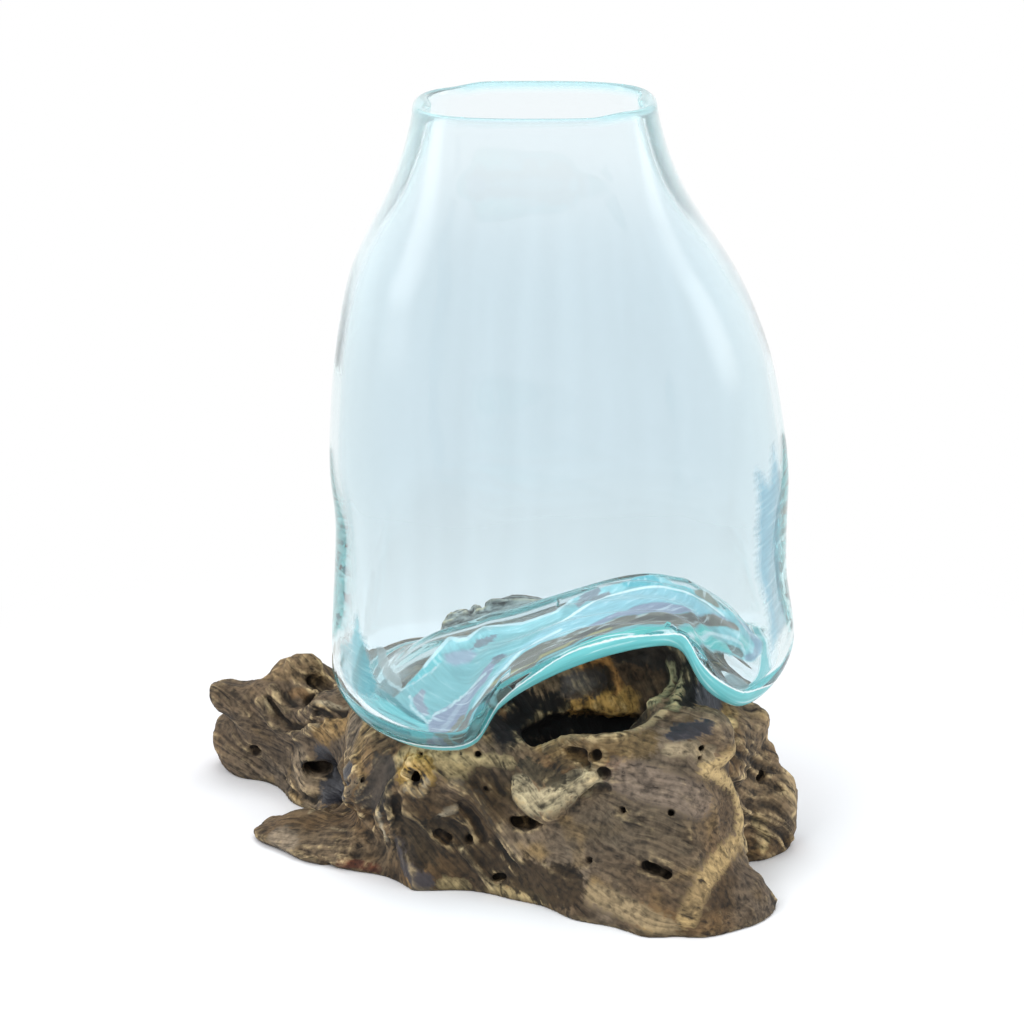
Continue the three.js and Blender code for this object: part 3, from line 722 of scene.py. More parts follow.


# The milky folds of the glass floor and wall, from the widest to the finest; among them are painted highlights, a
# painted reflection, and the wood seen through the glass, painted as grey-brown bands
SWIRLS = (
    Swirl((158, 222, 230), 0.6, edge=1.5, ragged=1.2, points=(
        -46, -24, -41, -21, -36, -18, -33, -13, -30, -11, -27, -7, -26, -4, -22, -10, -18, -11, -14, -7, -10, -3,
        -3, -9, 5, -13, 10, -14, 12, -13, 19, -13, 26, -3, 32, -2, 40, -3, 46, -3, 52, 4, 59, 4, 65, 1, 68, -3,
        74, -4, 82, 0, 85, -3, 89, -6, 97, 8, 101, 7, 104, 0, 106, -10, 104, -18, 100, -25, 95, -29, 89, -33, 84, -34,
        77, -41, 74, -50, 64, -82, 20, -84, -11, -84, -30, -74, -48, -62, -66, -40, -78, -10, -65, -30, -58, -17,
        -51, -27,
    )),
    Swirl((190, 232, 240), 0.25, edge=4, ragged=3, points=(
        -64, 17, -56, -17, -51, -27, -46, -24, -51, -13, -57, 13, -61, 27,
    )),
    Swirl((112, 190, 196), 0.7, edge=1.5, ragged=2, points=(
        -78, 8, -70, 16, -62, 5, -57, -12, -50, -28, -43, -38, -35, -48, -51, -30, -61, -18, -72, -6,
    )),
    Swirl((122, 210, 216), 0.8, ragged=1.5, points=(
        -65, -30, -58, -17, -51, -27, -43, -38, -35, -48, -33, -60, -36, -64, -45, -57, -53, -50, -60, -42, -66, -34,
    )),
    Swirl((82, 158, 168), 0.7, half=0.9, ragged=0.5, points=(-59, -40, -49, -50, -40, -57)),
    Swirl((96, 172, 180), 0.7, half=0.8, ragged=0.5, points=(-55, -34, -47, -42, -38, -53)),
    Swirl((76, 150, 160), 0.7, half=0.9, ragged=0.5, points=(-76, 10, -63, -6, -53, -23, -43, -38, -35, -48)),
    Swirl((92, 164, 172), 0.65, half=0.8, ragged=0.5, points=(-72, 8, -64, 0, -57, -14, -46, -33)),
    Swirl((168, 176, 176), 0.75, ragged=1.5, points=(
        -62, 26, -60, 30, -58, 29, -57, 23, -55, 15, -54, 4, -51, -5, -48, -13, -46, -21, -46, -24, -50, -18, -54, -9,
        -57, 2, -60, 14,
    )),
    Swirl((126, 212, 220), 0.75, points=(
        -46, -24, -41, -21, -36, -18, -30, -12, -28, -19, -33, -23, -36, -23, -41, -25,
    )),
    Swirl((166, 174, 190), 0.8, points=(
        -41, -32, -37, -29, -35, -31, -36, -35, -34, -40, -33, -43, -35, -44, -38, -40, -40, -36,
    )),
    Swirl((176, 196, 216), 0.7, edge=2, points=(
        -28, -15, -23, -15, -16, -17, -13, -23, -17, -25, -23, -24, -27, -21,
    )),
    Swirl((152, 160, 182), 0.88, points=(
        -32, -43, -27, -41, -23, -40, -17, -38, -13, -38, -9, -36, -6, -32, -2, -33, -6, -40, -10, -45, -14, -45,
        -16, -45, -18, -49, -20, -52, -23, -60, -25, -66, -30, -63, -33, -60, -34, -48, -32, -44,
    )),
    Swirl((180, 190, 208), 0.8, half=1.2, ragged=1.5, points=(-30, -62, -26, -51, -23, -45, -20, -42, -16, -40)),
    Swirl((150, 148, 140), 0.85, half=1.5, ragged=1.2, points=(-30, -65, -26, -65, -23, -57, -20, -50)),
    Swirl((168, 218, 230), 0.8, edge=1.5, points=(
        -16, -50, -14, -48, -10, -49, -6, -43, -2, -40, 4, -33, 11, -30, 20, -21, 19, -27, 26, -21, 33, -18, 40, -13,
        47, -12, 54, -12, 63, -12, 68, -13, 77, -13, 86, -9, 93, -7, 88, -10, 80, -18, 71, -26, 66, -27, 59, -27,
        50, -28, 42, -34, 32, -36, 22, -41, 12, -40, 13, -40, 6, -41, 0, -43, -4, -50, -8, -52, -12, -52, -15, -51,
    )),
    Swirl((156, 164, 184), 0.9, ragged=0.8, points=(
        24, -41, 32, -36, 42, -34, 50, -28, 59, -27, 66, -27, 71, -26, 80, -18, 88, -10, 93, -9, 87, -13, 80, -18,
        71, -29, 62, -37, 52, -39, 42, -37, 32, -40,
    )),
    # This grey-brown band and the threads after it, up to the teal patch, paint the wood seen through the glass.
    Swirl((130, 126, 118), 0.93, edge=0.8, ragged=0.6, points=(
        -22, -67, -25, -66, -22, -62, -20, -54, -17, -50, -14, -51, -9, -52, -5, -50, 0, -43, 6, -41, 13, -40,
        12, -40, 22, -41, 32, -40, 42, -37, 52, -39, 62, -37, 71, -29, 80, -18, 87, -13, 93, -9, 96, -10, 93, -14,
        87, -19, 79, -24, 71, -39, 61, -52, 52, -51, 42, -50, 32, -52, 22, -55, 12, -56, 10, -73, 1, -72, -2, -71,
        -8, -73, -10, -73, -14, -72, -17, -68, -20, -68,
    )),
    Swirl((104, 102, 98), 0.9, half=1.5, points=(
        12, -49, 22, -46, 32, -45, 42, -46, 52, -42, 62, -42, 71, -32, 80, -21,
    )),
    Swirl((178, 172, 128), 0.9, half=0.7, ragged=0.3, points=(
        -8, -52, 1, -54, 10, -57, 12, -53, 22, -53, 32, -47, 40, -48,
    )),
    Swirl((72, 80, 80), 0.9, half=0.8, ragged=0.4, points=(
        -9, -73, -2, -71, 4, -73, 13, -70, 12, -67, 19, -66, 28, -56, 38, -53,
    )),
    Swirl((110, 214, 208), 0.8, points=(
        -6, -75, -1, -71, 7, -74, 12, -74, 20, -69, 28, -57, 38, -56, 51, -52, 61, -55, 71, -40, 79, -25, 84, -24,
        76, -41, 69, -68, 70, -74, 64, -86, 20, -88, -8, -88,
    )),
    Swirl((132, 220, 226), 0.85, ragged=0.5, points=(
        -17, -66, -16, -56, -14, -56, -11, -64, -10, -72, -14, -73, -16, -70,
    )),
    Swirl((92, 110, 116), 0.75, points=(-14, -74, -11, -72, -9, -67, -7, -74, -8, -86, -15, -84, -22, -76, -19, -70)),
    Swirl((140, 150, 160), 0.8, edge=0.8, points=(
        26, -11, 29, -3, 32, -2, 37, -2, 38, -5, 36, -7, 33, -8, 30, -15, 28, -18,
    )),
    Swirl((150, 160, 168), 0.7, edge=0.8, ragged=2, points=(36, -6, 40, -7, 43, -9, 40, -11, 35, -14, 31, -12)),
    Swirl((104, 192, 204), 0.85, edge=0.8, points=(46, -4, 52, 4, 59, 4, 64, -2, 63, -11, 56, -10, 48, -8)),
    Swirl((118, 204, 212), 0.8, edge=0.8, points=(65, -4, 68, -4, 73, -5, 77, -13, 71, -14, 67, -14, 64, -12)),
    Swirl((148, 148, 136), 0.85, edge=0.8, points=(74, -4, 82, 0, 85, -3, 89, -6, 85, -7, 80, -7, 75, -7)),
    Swirl((152, 168, 180), 0.6, ragged=3, points=(-14, -13, -8, -15, -5, -16, -6, -20, -13, -18, -16, -17)),
    Swirl((130, 146, 160), 0.7, ragged=2.5, points=(-6, -32, -3, -32, -2, -34, -4, -39, -7, -38)),
    Swirl((142, 170, 190), 0.85, edge=0.8, ragged=0.4, points=(
        95, 3, 101, 7, 104, 0, 106, -10, 104, -18, 100, -25, 96, -28, 96, -25, 100, -21, 102, -11, 99, -6, 95, -6,
    )),
    Swirl((128, 206, 206), 0.85, edge=0.8, points=(95, -12, 99, -11, 100, -16, 97, -23, 94, -23)),
    Swirl((116, 206, 204), 0.85, edge=0.8, points=(77, -32, 86, -27, 92, -24, 89, -32, 83, -34, 78, -37)),
    Swirl((108, 126, 126), 0.8, edge=0.8, points=(88, -26, 92, -24, 96, -24, 95, -28, 90, -30)),
    # The white threads that follow paint highlights along the folds.
    Swirl((216, 240, 244), 0.9, half=0.8, ragged=0.3, points=(74, -40, 83, -25, 90, -22, 95, -21, 96, -24)),
    Swirl((232, 248, 250), 0.95, half=0.9, ragged=0.3, points=(
        -9, -67, -6, -73, 0, -74, 7, -74, 12, -73, 20, -71, 29, -63, 37, -60, 45, -64, 53, -69, 63, -64, 73, -42,
    )),
    Swirl((236, 250, 252), 0.95, half=0.9, ragged=0.6, points=(
        12, -26, 19, -24, 26, -20, 33, -17, 40, -11, 47, -11, 54, -11, 63, -11, 71, -13, 80, -8, 88, -9,
    )),
    Swirl((224, 246, 250), 0.9, half=0.8, ragged=0.6, points=(
        -15, -51, -12, -52, -8, -51, -3, -44, 2, -41, 10, -34, 20, -32,
    )),
    Swirl((220, 242, 247), 0.72, half=0.5, ragged=1.3, points=(
        -53, -11, -50, -18, -46, -24, -41, -24, -36, -23, -33, -23, -30, -20,
    )),
    Swirl((222, 244, 249), 0.78, half=0.5, ragged=1.5, points=(
        -42, -30, -41, -33, -41, -36, -38, -41, -35, -45, -34, -49, -32, -45, -31, -43, -26, -42, -23, -40, -16, -38,
        -10, -40,
    )),
    Swirl((206, 236, 242), 0.85, half=1.1, ragged=0.6, points=(
        -36, -18, -33, -14, -27, -8, -26, -6, -22, -10, -18, -11, -14, -8, -10, -5, -3, -10, 5, -14, 10, -14, 12, -14,
        19, -14, 25, -4,
    )),
    Swirl((150, 166, 168), 0.8, ragged=1.5, points=(85, -45, 90, -42, 94, -41, 96, -46, 95, -52, 89, -56, 87, -48)),
    Swirl((118, 192, 204), 0.52, edge=4, ragged=4, place=Place.WALL, points=(
        194.7, 90, 195.4, 100, 201.6, 104, 202.9, 107, 205.3, 117, 207, 110, 208.9, 107, 210.7, 103, 212, 97,
        214.7, 90, 213, 84, 206, 82, 199.7, 84,
    )),
    # Painted reflection of the root on the right wall.
    Swirl((152, 200, 220), 0.56, edge=6, ragged=3.5, place=Place.WALL, points=(
        329.2, 180, 335, 172, 339, 186, 342.2, 175, 344.4, 153, 345, 129, 344.9, 118, 347.8, 108, 338.7, 104,
        334.4, 101, 335.3, 115, 334.2, 123, 330.9, 135, 329.7, 159,
    )),
)


class Vase:
    """The glass vase: a closed skin of uneven thickness, with milky folds in its floor and painted highlights and
    reflections among them.
    """

    def __init__(self, shape: VaseShape, finish: GlassFinish) -> None:
        """Stores the sizes and the finish."""
        self.shape = shape
        self.finish = finish
        self.noise = Noise(SEED)

    def thickness(self, outside: np.ndarray, rows: Rows) -> np.ndarray:
        """Thickness of the glass at each point of a skin, in mm."""
        s = self.shape
        count, steps = outside.shape[:2]
        row = np.arange(count)[:, None]
        low = smooth((row - rows.wall * s.low_rows) / (rows.wall * (1 - s.low_rows)))
        thick = s.wall + (s.base_wall - s.wall) * low + np.zeros((1, steps))
        turn = np.arange(steps)[None, :] * 2 * np.pi / steps
        near_rim = smooth((outside[:, :, 2] - s.rim + s.corner_reach) / s.corner_reach)
        thick += s.corner_extra * near_rim * np.abs(np.cos(turn)) ** s.corner_power
        lift = s.thinning(s.underside(outside[:, :, 0], outside[:, :, 1]) - s.pocket)
        thick -= s.crest_thinning * lift * s.thinning_rows(row - rows.wall)
        wave = self.noise.layers(outside.reshape(-1, 3) / np.array(s.wave_sizes), 2)
        thick += s.uneven * wave.reshape(count, steps)
        return thick

    def inside(self) -> np.ndarray:
        """The inside grid: the outside set in by the thickness, evened out, with folds over the arch."""
        s = self.shape
        rows = s.inner_rows
        outside = s.skin(rows)
        grid = outside - normals_of(outside) * self.thickness(outside, rows)[:, :, None]
        past_wall = np.arange(len(grid)) - rows.wall
        share = s.even_rows(past_wall)[:, None, None] * s.even_share
        for _ in range(s.even_rounds):
            even = (np.roll(grid, 1, 1) + np.roll(grid, -1, 1)) / 2
            even[1:-1] = (even[1:-1] + (grid[2:] + grid[:-2]) / 2) / 2
            grid = grid + (even - grid) * share
        x, y = outside[:, :, 0], outside[:, :, 1]
        lift = s.folded(s.underside(x, y))
        wander = self.noise(np.stack([x / s.fold_size, y / s.fold_size, 0 * x + 3], 2).reshape(-1, 3))
        wander = wander.reshape(x.shape)
        folds = np.sin((y + s.fold_slant * x + s.fold_wander * wander) * 2 * np.pi / s.fold_spacing)
        grid[:, :, 2] += s.fold_height * folds * lift * s.folded_rows(past_wall)[:, None]
        return grid

    def tints(self, grid: np.ndarray) -> tuple[np.ndarray, np.ndarray]:
        """The glass at each point of a skin: the linear RGB share of light that one wall passes, and its milk."""
        s, f = self.shape, self.finish
        flat = grid.reshape(-1, 3)
        turn = np.arctan2(flat[:, 1] - s.axis[1], flat[:, 0] - s.axis[0])
        height, sideways = flat[:, 2], np.abs(np.cos(turn))
        neck = f.neck_height(height)[:, None]
        side = (sideways**f.side_power)[:, None]
        corner = (f.corner_height(height) * sideways**f.corner_power)[:, None]
        low = f.low_height(height)[:, None]
        tint = np.array(f.body) + (np.array(f.neck) - np.array(f.body)) * neck
        tint = tint + (np.array(f.side) - tint) * side * (1 - neck)
        tint = tint + (np.array(f.low) - tint) * low * f.low_share
        tint = tint + (np.array(f.corner) - tint) * corner
        round_x, round_y = np.cos(turn) * f.streaks_round, np.sin(turn) * f.streaks_round
        streak = self.noise.layers(np.stack([round_x, round_y, height / f.streak_length], 1), 2)
        lip = f.lip_height(height - s.rim)
        tint = tint + (np.array(f.lip) - tint) * lip[:, None]
        thick = f.milk_height(height) * sideways**f.corner_power
        milk = np.maximum(f.lip_milk * lip, f.corner_milk * thick)
        return np.clip(tint * (1 + f.streaks * streak[:, None] * (1 - neck)), 0, 1), milk

    def build(self) -> bpy.types.Object:
        """Makes the vase's mesh and gives it its glass.

        Returns:
            The object.
        """
        s = self.shape
        outside = s.skin(s.outer_rows)
        wave = self.noise.layers(outside.reshape(-1, 3) / s.outer_wave + 9.1, 2).reshape(outside.shape[:2])
        row = np.arange(len(outside))[:, None]
        calm = s.rim_rows(row) * s.heel_rows(row - s.outer_rows.wall)
        inside = self.inside()
        outside = outside - normals_of(outside) * (s.uneven * (1 + wave) * calm)[:, :, None]
        inside[0, :, 2] = outside[0, :, 2]
        lips = []
        for turn in (0.25, 0.5, 0.75):
            lip = outside[0] * turn + inside[0] * (1 - turn)
            lip[:, 2] += s.lip * np.sin(np.pi * turn) ** 0.8
            lips.append(lip)
        lips = np.array(lips)
        rows = np.concatenate([inside[::-1], lips, outside])
        low, high = (np.array(v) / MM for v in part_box("glass_vase"))
        vertices = np.concatenate([[inside[-1].mean(0)], rows.reshape(-1, 3), [outside[-1].mean(0)]])
        vertices = np.clip(vertices, low, high)
        obj = new_object("blown_vase", vertices, self.triangles(rows, len(vertices)))
        tint, milk = self.tints(vertices)
        set_attribute(obj, "glass_tint", tint)
        set_attribute(obj, "milk", milk)
        self.add_swirls(obj, vertices, len(inside), len(inside) + len(lips))
        obj.data.materials.append(self.material())
        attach(obj, "vase")
        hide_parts("glass_vase")
        LOG.info("vase: %d triangles, %d swirls", len(obj.data.polygons), len(SWIRLS))
        return obj

    def triangles(self, rows: np.ndarray, points: int) -> np.ndarray:
        """Triangles of the closed skin, with one point at each end.

        Args:
            rows: The rows of points, from the inside's middle round the lip to the outside's middle.
            points: How many points there are, with the two ends.

        Returns:
            Three point numbers per triangle.
        """
        count, steps = rows.shape[:2]
        k = np.arange(steps)
        after = (k + 1) % steps
        quads = np.concatenate(
            [
                np.stack([a + k, a + steps + k, a + steps + after, a + after], 1)
                for a in 1 + np.arange(count - 1) * steps
            ]
        )
        end = 1 + (count - 1) * steps
        return np.concatenate(
            [
                quads[:, [0, 1, 2]],
                quads[:, [0, 2, 3]],
                np.stack([np.zeros_like(k), 1 + k, 1 + after], 1),
                np.stack([np.full_like(k, points - 1), end + after, end + k], 1),
            ]
        )

    def add_swirls(self, obj: bpy.types.Object, vertices: np.ndarray, inner_rows: int, first_outer: int) -> None:
        """Stores how far each point is from each swirl, from the lower rim of the glass, and along the streaks.

        Args:
            obj: The vase.
            vertices: All its points, in mm.
            inner_rows: How many rows of points the inside has.
            first_outer: Number of the first row of the outside.
        """
        s = self.shape
        steps = s.round_steps
        number = np.arange(len(vertices)) - 1
        inner_row = np.where(number < inner_rows * steps, inner_rows - 1 - number // steps, -1)
        inner_row[0] = inner_rows - 1
        on_wall = (inner_row >= 0) & (inner_row <= s.inner_rows.wall + 3)
        x, y, z = vertices.T
        over_arch = s.arched(s.underside(x, y))
        on_floor = inner_row >= s.inner_rows.wall + 4 + (s.inner_rows.heel - 5) * over_arch
        degrees = np.degrees(np.arctan2(y, x - s.wall_middle)) % 360
        for k, swirl in enumerate(SWIRLS):
            if swirl.place is Place.FLOOR:
                away = np.where(on_floor, swirl.distance(x, y), FAR)
            else:
                away = np.where(on_wall, swirl.distance(degrees, z, s.degree), FAR)
            set_attribute(obj, f"swirl_{k:02d}", away)
        cx, cy = s.plans(np.zeros(1), 0)[0], s.plans(np.zeros(1), 1)[0]
        turn = np.arctan2(y - cy, x - cx)
        wx, wy = s.plan(turn, np.full_like(turn, s.pocket), np.ones_like(turn))
        inset = np.hypot(wx - cx, wy - cy) - np.hypot(x - cx, y - cy)
        height = z - s.underside(x, y)
        edge = np.maximum(height - s.bands(np.degrees(turn) % 360), inset - s.band_inset)
        on_outside = number >= first_outer * steps
        set_attribute(obj, "lower_edge", np.where(on_outside, edge, FAR))
        flow = np.stack([np.cos(turn) * 4.5, np.sin(turn) * 4.5, np.where(on_floor, inset, height) / 1.5], 1)
        set_attribute(obj, "flow", flow)

    def material(self) -> bpy.types.Material:
        """Clear tinted glass with milky swirls and painted highlight lines and streaks, which lets lamps pass.

        Returns:
            The material.
        """
        f = self.finish
        mat, nodes = new_material("aqua_glass")
        streak = nodes.noise(nodes.attribute("flow", "Vector"), 1.0, 4.0)
        fine = nodes.noise(nodes.add("ShaderNodeTexCoord").outputs["Object"], f.speck_scale, 3.0)
        wander = nodes.math("SUBTRACT", nodes.plus(nodes.times(streak, 1.4), fine), 1.2)
        edge = nodes.plus(nodes.attribute("lower_edge"), nodes.times(wander, 0.8))
        inside = nodes.span(edge, 0.0, -0.8, 0.0, 1.0)
        colour = nodes.mix_colour(inside, nodes.attribute("glass_tint", "Color"), f.edge_colour)
        milk = nodes.math("MAXIMUM", nodes.value(0.0), nodes.times(inside, f.edge_milk))
        # a thin white line painted as a highlight along the top of the teal lower edge
        line = nodes.span(nodes.math("ABSOLUTE", nodes.plus(edge, 0.4)), 0.6, 0.2, 0.0, 1.0)
        colour = nodes.mix_colour(line, colour, f.highlight_line_colour)
        milk = nodes.math("MAXIMUM", milk, nodes.times(line, f.highlight_line_milk))
        for k, swirl in enumerate(SWIRLS):
            away = nodes.plus(nodes.attribute(f"swirl_{k:02d}"), nodes.times(wander, swirl.ragged))
            share = nodes.span(away, 0.5 * swirl.edge, -0.5 * swirl.edge, 0.0, 1.0)
            colour = nodes.mix_colour(share, colour, swirl.colour)
            milk = nodes.mix_value(share, milk, swirl.milk)
        streaked = nodes.scale(colour, nodes.span(streak, 0.3, 0.7, f.streak_low, f.streak_high))
        # white streaks painted as highlights in the milky parts
        painted_highlights = nodes.times(nodes.span(streak, 0.58, 0.66, 0.0, f.highlight_streaks), milk)
        streaked = nodes.mix_colour(painted_highlights, streaked, f.highlight_line_colour)
        colour = nodes.mix_colour(nodes.span(milk, 0.0, 0.05, 0.0, 1.0), colour, streaked)
        milk = nodes.math("MAXIMUM", milk, nodes.attribute("milk"))
        glass = nodes.add("ShaderNodeBsdfPrincipled")
        clear = nodes.math("SUBTRACT", nodes.value(1.0), milk)
        for name, value in zip(
            ("Roughness", "IOR", "Base Color", "Transmission Weight"), (f.roughness, f.ior, colour, clear)
        ):
            nodes.give(glass.inputs[name], value)
        passing = nodes.add("ShaderNodeBsdfTransparent")
        nodes.give(passing.inputs["Color"], (*f.shadow, 1))
        in_shadow = nodes.add("ShaderNodeLightPath").outputs["Is Shadow Ray"]
        volume = nodes.add("ShaderNodeVolumeAbsorption")
        nodes.give(volume.inputs["Color"], (*f.absorbs, 1))
        nodes.give(volume.inputs["Density"], f.density)
        surface = nodes.mix_shader(in_shadow, glass.outputs["BSDF"], passing.outputs["BSDF"])
        nodes.finish(surface, volume.outputs["Volume"])
        return mat


def blend(a: np.ndarray, b: np.ndarray, k: float) -> np.ndarray:
    """Smooth union of two fields that are below 0 inside."""
    h = np.maximum(k - np.abs(a - b), 0) / k
    return np.minimum(a, b) - h * h * k * 0.25


def carve(a: np.ndarray, b: np.ndarray, k: float) -> np.ndarray:
    """Field a with b taken out of it, softly."""
    return -blend(-a, b, k)


@dataclass(frozen=True)
class Egg:
    """An ellipsoid turned about Z: its middle and half sizes, in mm, and its turn in radians."""

    centre: Vector3
    radii: Vector3
    turn: float

    def box(self) -> tuple[np.ndarray, float]:
        """Middle and half side of a cube round it."""
        return np.array(self.centre), max(self.radii)

    def field(self, p: np.ndarray) -> np.ndarray:
        """About the distance of points, N by 3, to its surface, below 0 inside."""
        d = p - np.array(self.centre)
        c, s = np.cos(self.turn), np.sin(self.turn)
        q = np.stack([c * d[:, 0] + s * d[:, 1], c * d[:, 1] - s * d[:, 0], d[:, 2]], 1)
        r = np.array(self.radii)
        k0 = np.linalg.norm(q / r, axis=1)
        k1 = np.linalg.norm(q / (r * r), axis=1)
        return k0 * (k0 - 1) / np.maximum(k1, 1e-6)


@dataclass(frozen=True)
class Limb:
    """A round limb from start to end that tapers from the first radius to the last, in mm."""

    start: Vector3 | np.ndarray
    end: Vector3 | np.ndarray
    first: float
    last: float

    def box(self) -> tuple[np.ndarray, float]:
        """Middle and half side of a cube round it."""
        middle = (np.array(self.start) + np.array(self.end)) / 2
        return middle, np.linalg.norm(np.array(self.end) - middle) + self.first

    def field(self, p: np.ndarray) -> np.ndarray:
        """Distance of points, N by 3, to its surface, below 0 inside."""
        start = np.array(self.start, float)
        d = np.array(self.end, float) - start
        t = np.clip(((p - start) @ d) / max(d @ d, 1e-9), 0, 1)
        return np.linalg.norm(p - start - t[:, None] * d, axis=1) - (self.first + (self.last - self.first) * t)


@dataclass(frozen=True)
class RootShape:
    """The root's sizes, in mm, and the forms it is made of."""

    low: Vector3 = (-150, -116, -6)
    high: Vector3 = (140, 128, 132)
    cell: float = 1.31
    mid_height: float = 30.0
    left_lean: float = 0.06
    front_lean: float = 0.4
    right_lean_low: float = 0.1
    right_lean_high: float = 0.9
    edge: float = 14.0
    seat_press: float = 10.0
    seat_gap: float = 0.45
    grain_wave: float = 1.1
    top_reach: float = 8.0
    line_step: float = 6.0
    form_window: float = 4.0
    hole_window: float = 3.0
    line_window: float = 5.0
    cut_edge: float = 1.2
    ridge_edge: float = 2.2
    hole_mouth: float = 2.0
    hole_taper: float = 0.7
    settle_share: float = 0.9
    steepest: float = 3.0
    out_of_reach: float = 140.0
    # mm along y and x where the right-hand side and the front begin
    right_y: Fade = Fade(-44, 30)
    right_x: Fade = Fade(60, 40)
    front_x: Fade = Fade(-5, 60)
    # mm below the glass and above the floor where the relief sets in
    below_glass: Fade = Fade(0.8, 4)
    above_floor: Fade = Fade(0, 3)
    polish_calm: float = 0.85
    even_share: float = 0.3

    outline = (
        (-124, 104), (-118, 84), (-99, 54), (-84, 28), (-66, 4), (-54, -28), (-40, -51), (-6, -56), (16, -68),
        (36, -78), (56, -88), (74, -89), (88, -78), (95, -58), (96, -34), (106, -18), (116, -6), (117, 12),
        (108, 40), (92, 66), (66, 84), (24, 94), (-20, 100), (-80, 108),
    )
    tops = (
        (-124, 88, 40), (-100, 78, 57), (-112, 60, 36), (-82, 44, 50), (-70, 10, 52), (-58, -22, 56), (-88, 100, 42),
        (-66, 90, 42), (-50, 86, 40), (-38, 84, 46), (-40, 104, 44), (-12, 92, 78), (8, 93, 70), (42, 88, 78),
        (74, 76, 60), (94, 58, 48), (112, 24, 38), (104, -10, 62), (94, -42, 78), (84, -66, 60), (68, -62, 82),
        (60, -88, 44), (36, -66, 76), (8, -58, 70), (-40, -54, 62), (-36, -6, 78), (-30, 24, 76), (-14, -14, 86),
        (-10, 14, 90), (6, 32, 90), (10, -4, 98), (16, 14, 102), (30, -8, 104), (34, 30, 104), (58, 30, 106),
        (74, 22, 96),
    )
    # forms that are joined on, and how softly
    added = (
        (Egg((58, -6, 76), (35, 37, 41), 0), 14),
        (Egg((-42, -8, 40), (30, 44, 30), 0), 12),
        (Egg((91, -12, 54), (13, 32, 20), 0), 10),
        (Egg((99, -12, 60), (9, 12, 8), 0), 5),
        (Egg((20, 56, 54), (58, 30, 33), 0), 16),
        (Egg((-72, -6, 3), (45, 24, 8), -0.5), 9),
        (Egg((-116, 90, 10), (21, 18, 20), 0), 6),
        (Egg((-24, 85, 62), (9, 8, 13), 0), 2),
        (Egg((-14, 86, 64), (8, 8, 12), 0), 2),
        (Egg((2, 87, 66), (14, 9, 12), 0.1), 4),
        (Limb((-96, 76, 34), (-130, 80, 37.5), 19, 7.5), 8),
        (Limb((98, -6, 36), (108, -3, 19), 15, 14), 9),
        (Limb((108, -3, 19), (108, -3, 5), 14, 13), 9),
        (Limb((40, -62, 66), (78, -56, 70), 12, 12), 12),
        (Limb((58, -80, 10), (92, -70, 3), 14, 15), 12),
    )
    # forms that are taken out, and how softly
    taken = (
        (Egg((26, -40, 88), (44, 17, 22), 0.12), 8),
        (Egg((-84, 24, 16), (13, 14, 10), 0.6), 8),
        (Egg((103, -42, 10), (9, 20, 26), 0), 8),
        (Egg((27, -54, 80), (30, 16, 12.5), -0.1), 4),
        (Egg((30, -38, 64), (27, 16, 9), 0.08), 4),
    )
    # steps along x, y and z, start, share
    waves = (
        (0.11, 0.05, 0.07, 0, 1),
        (-0.09, 0.16, 0.04, 1.3, 0.8),
        (0.17, -0.08, 0.21, 0, 0.6),
    )


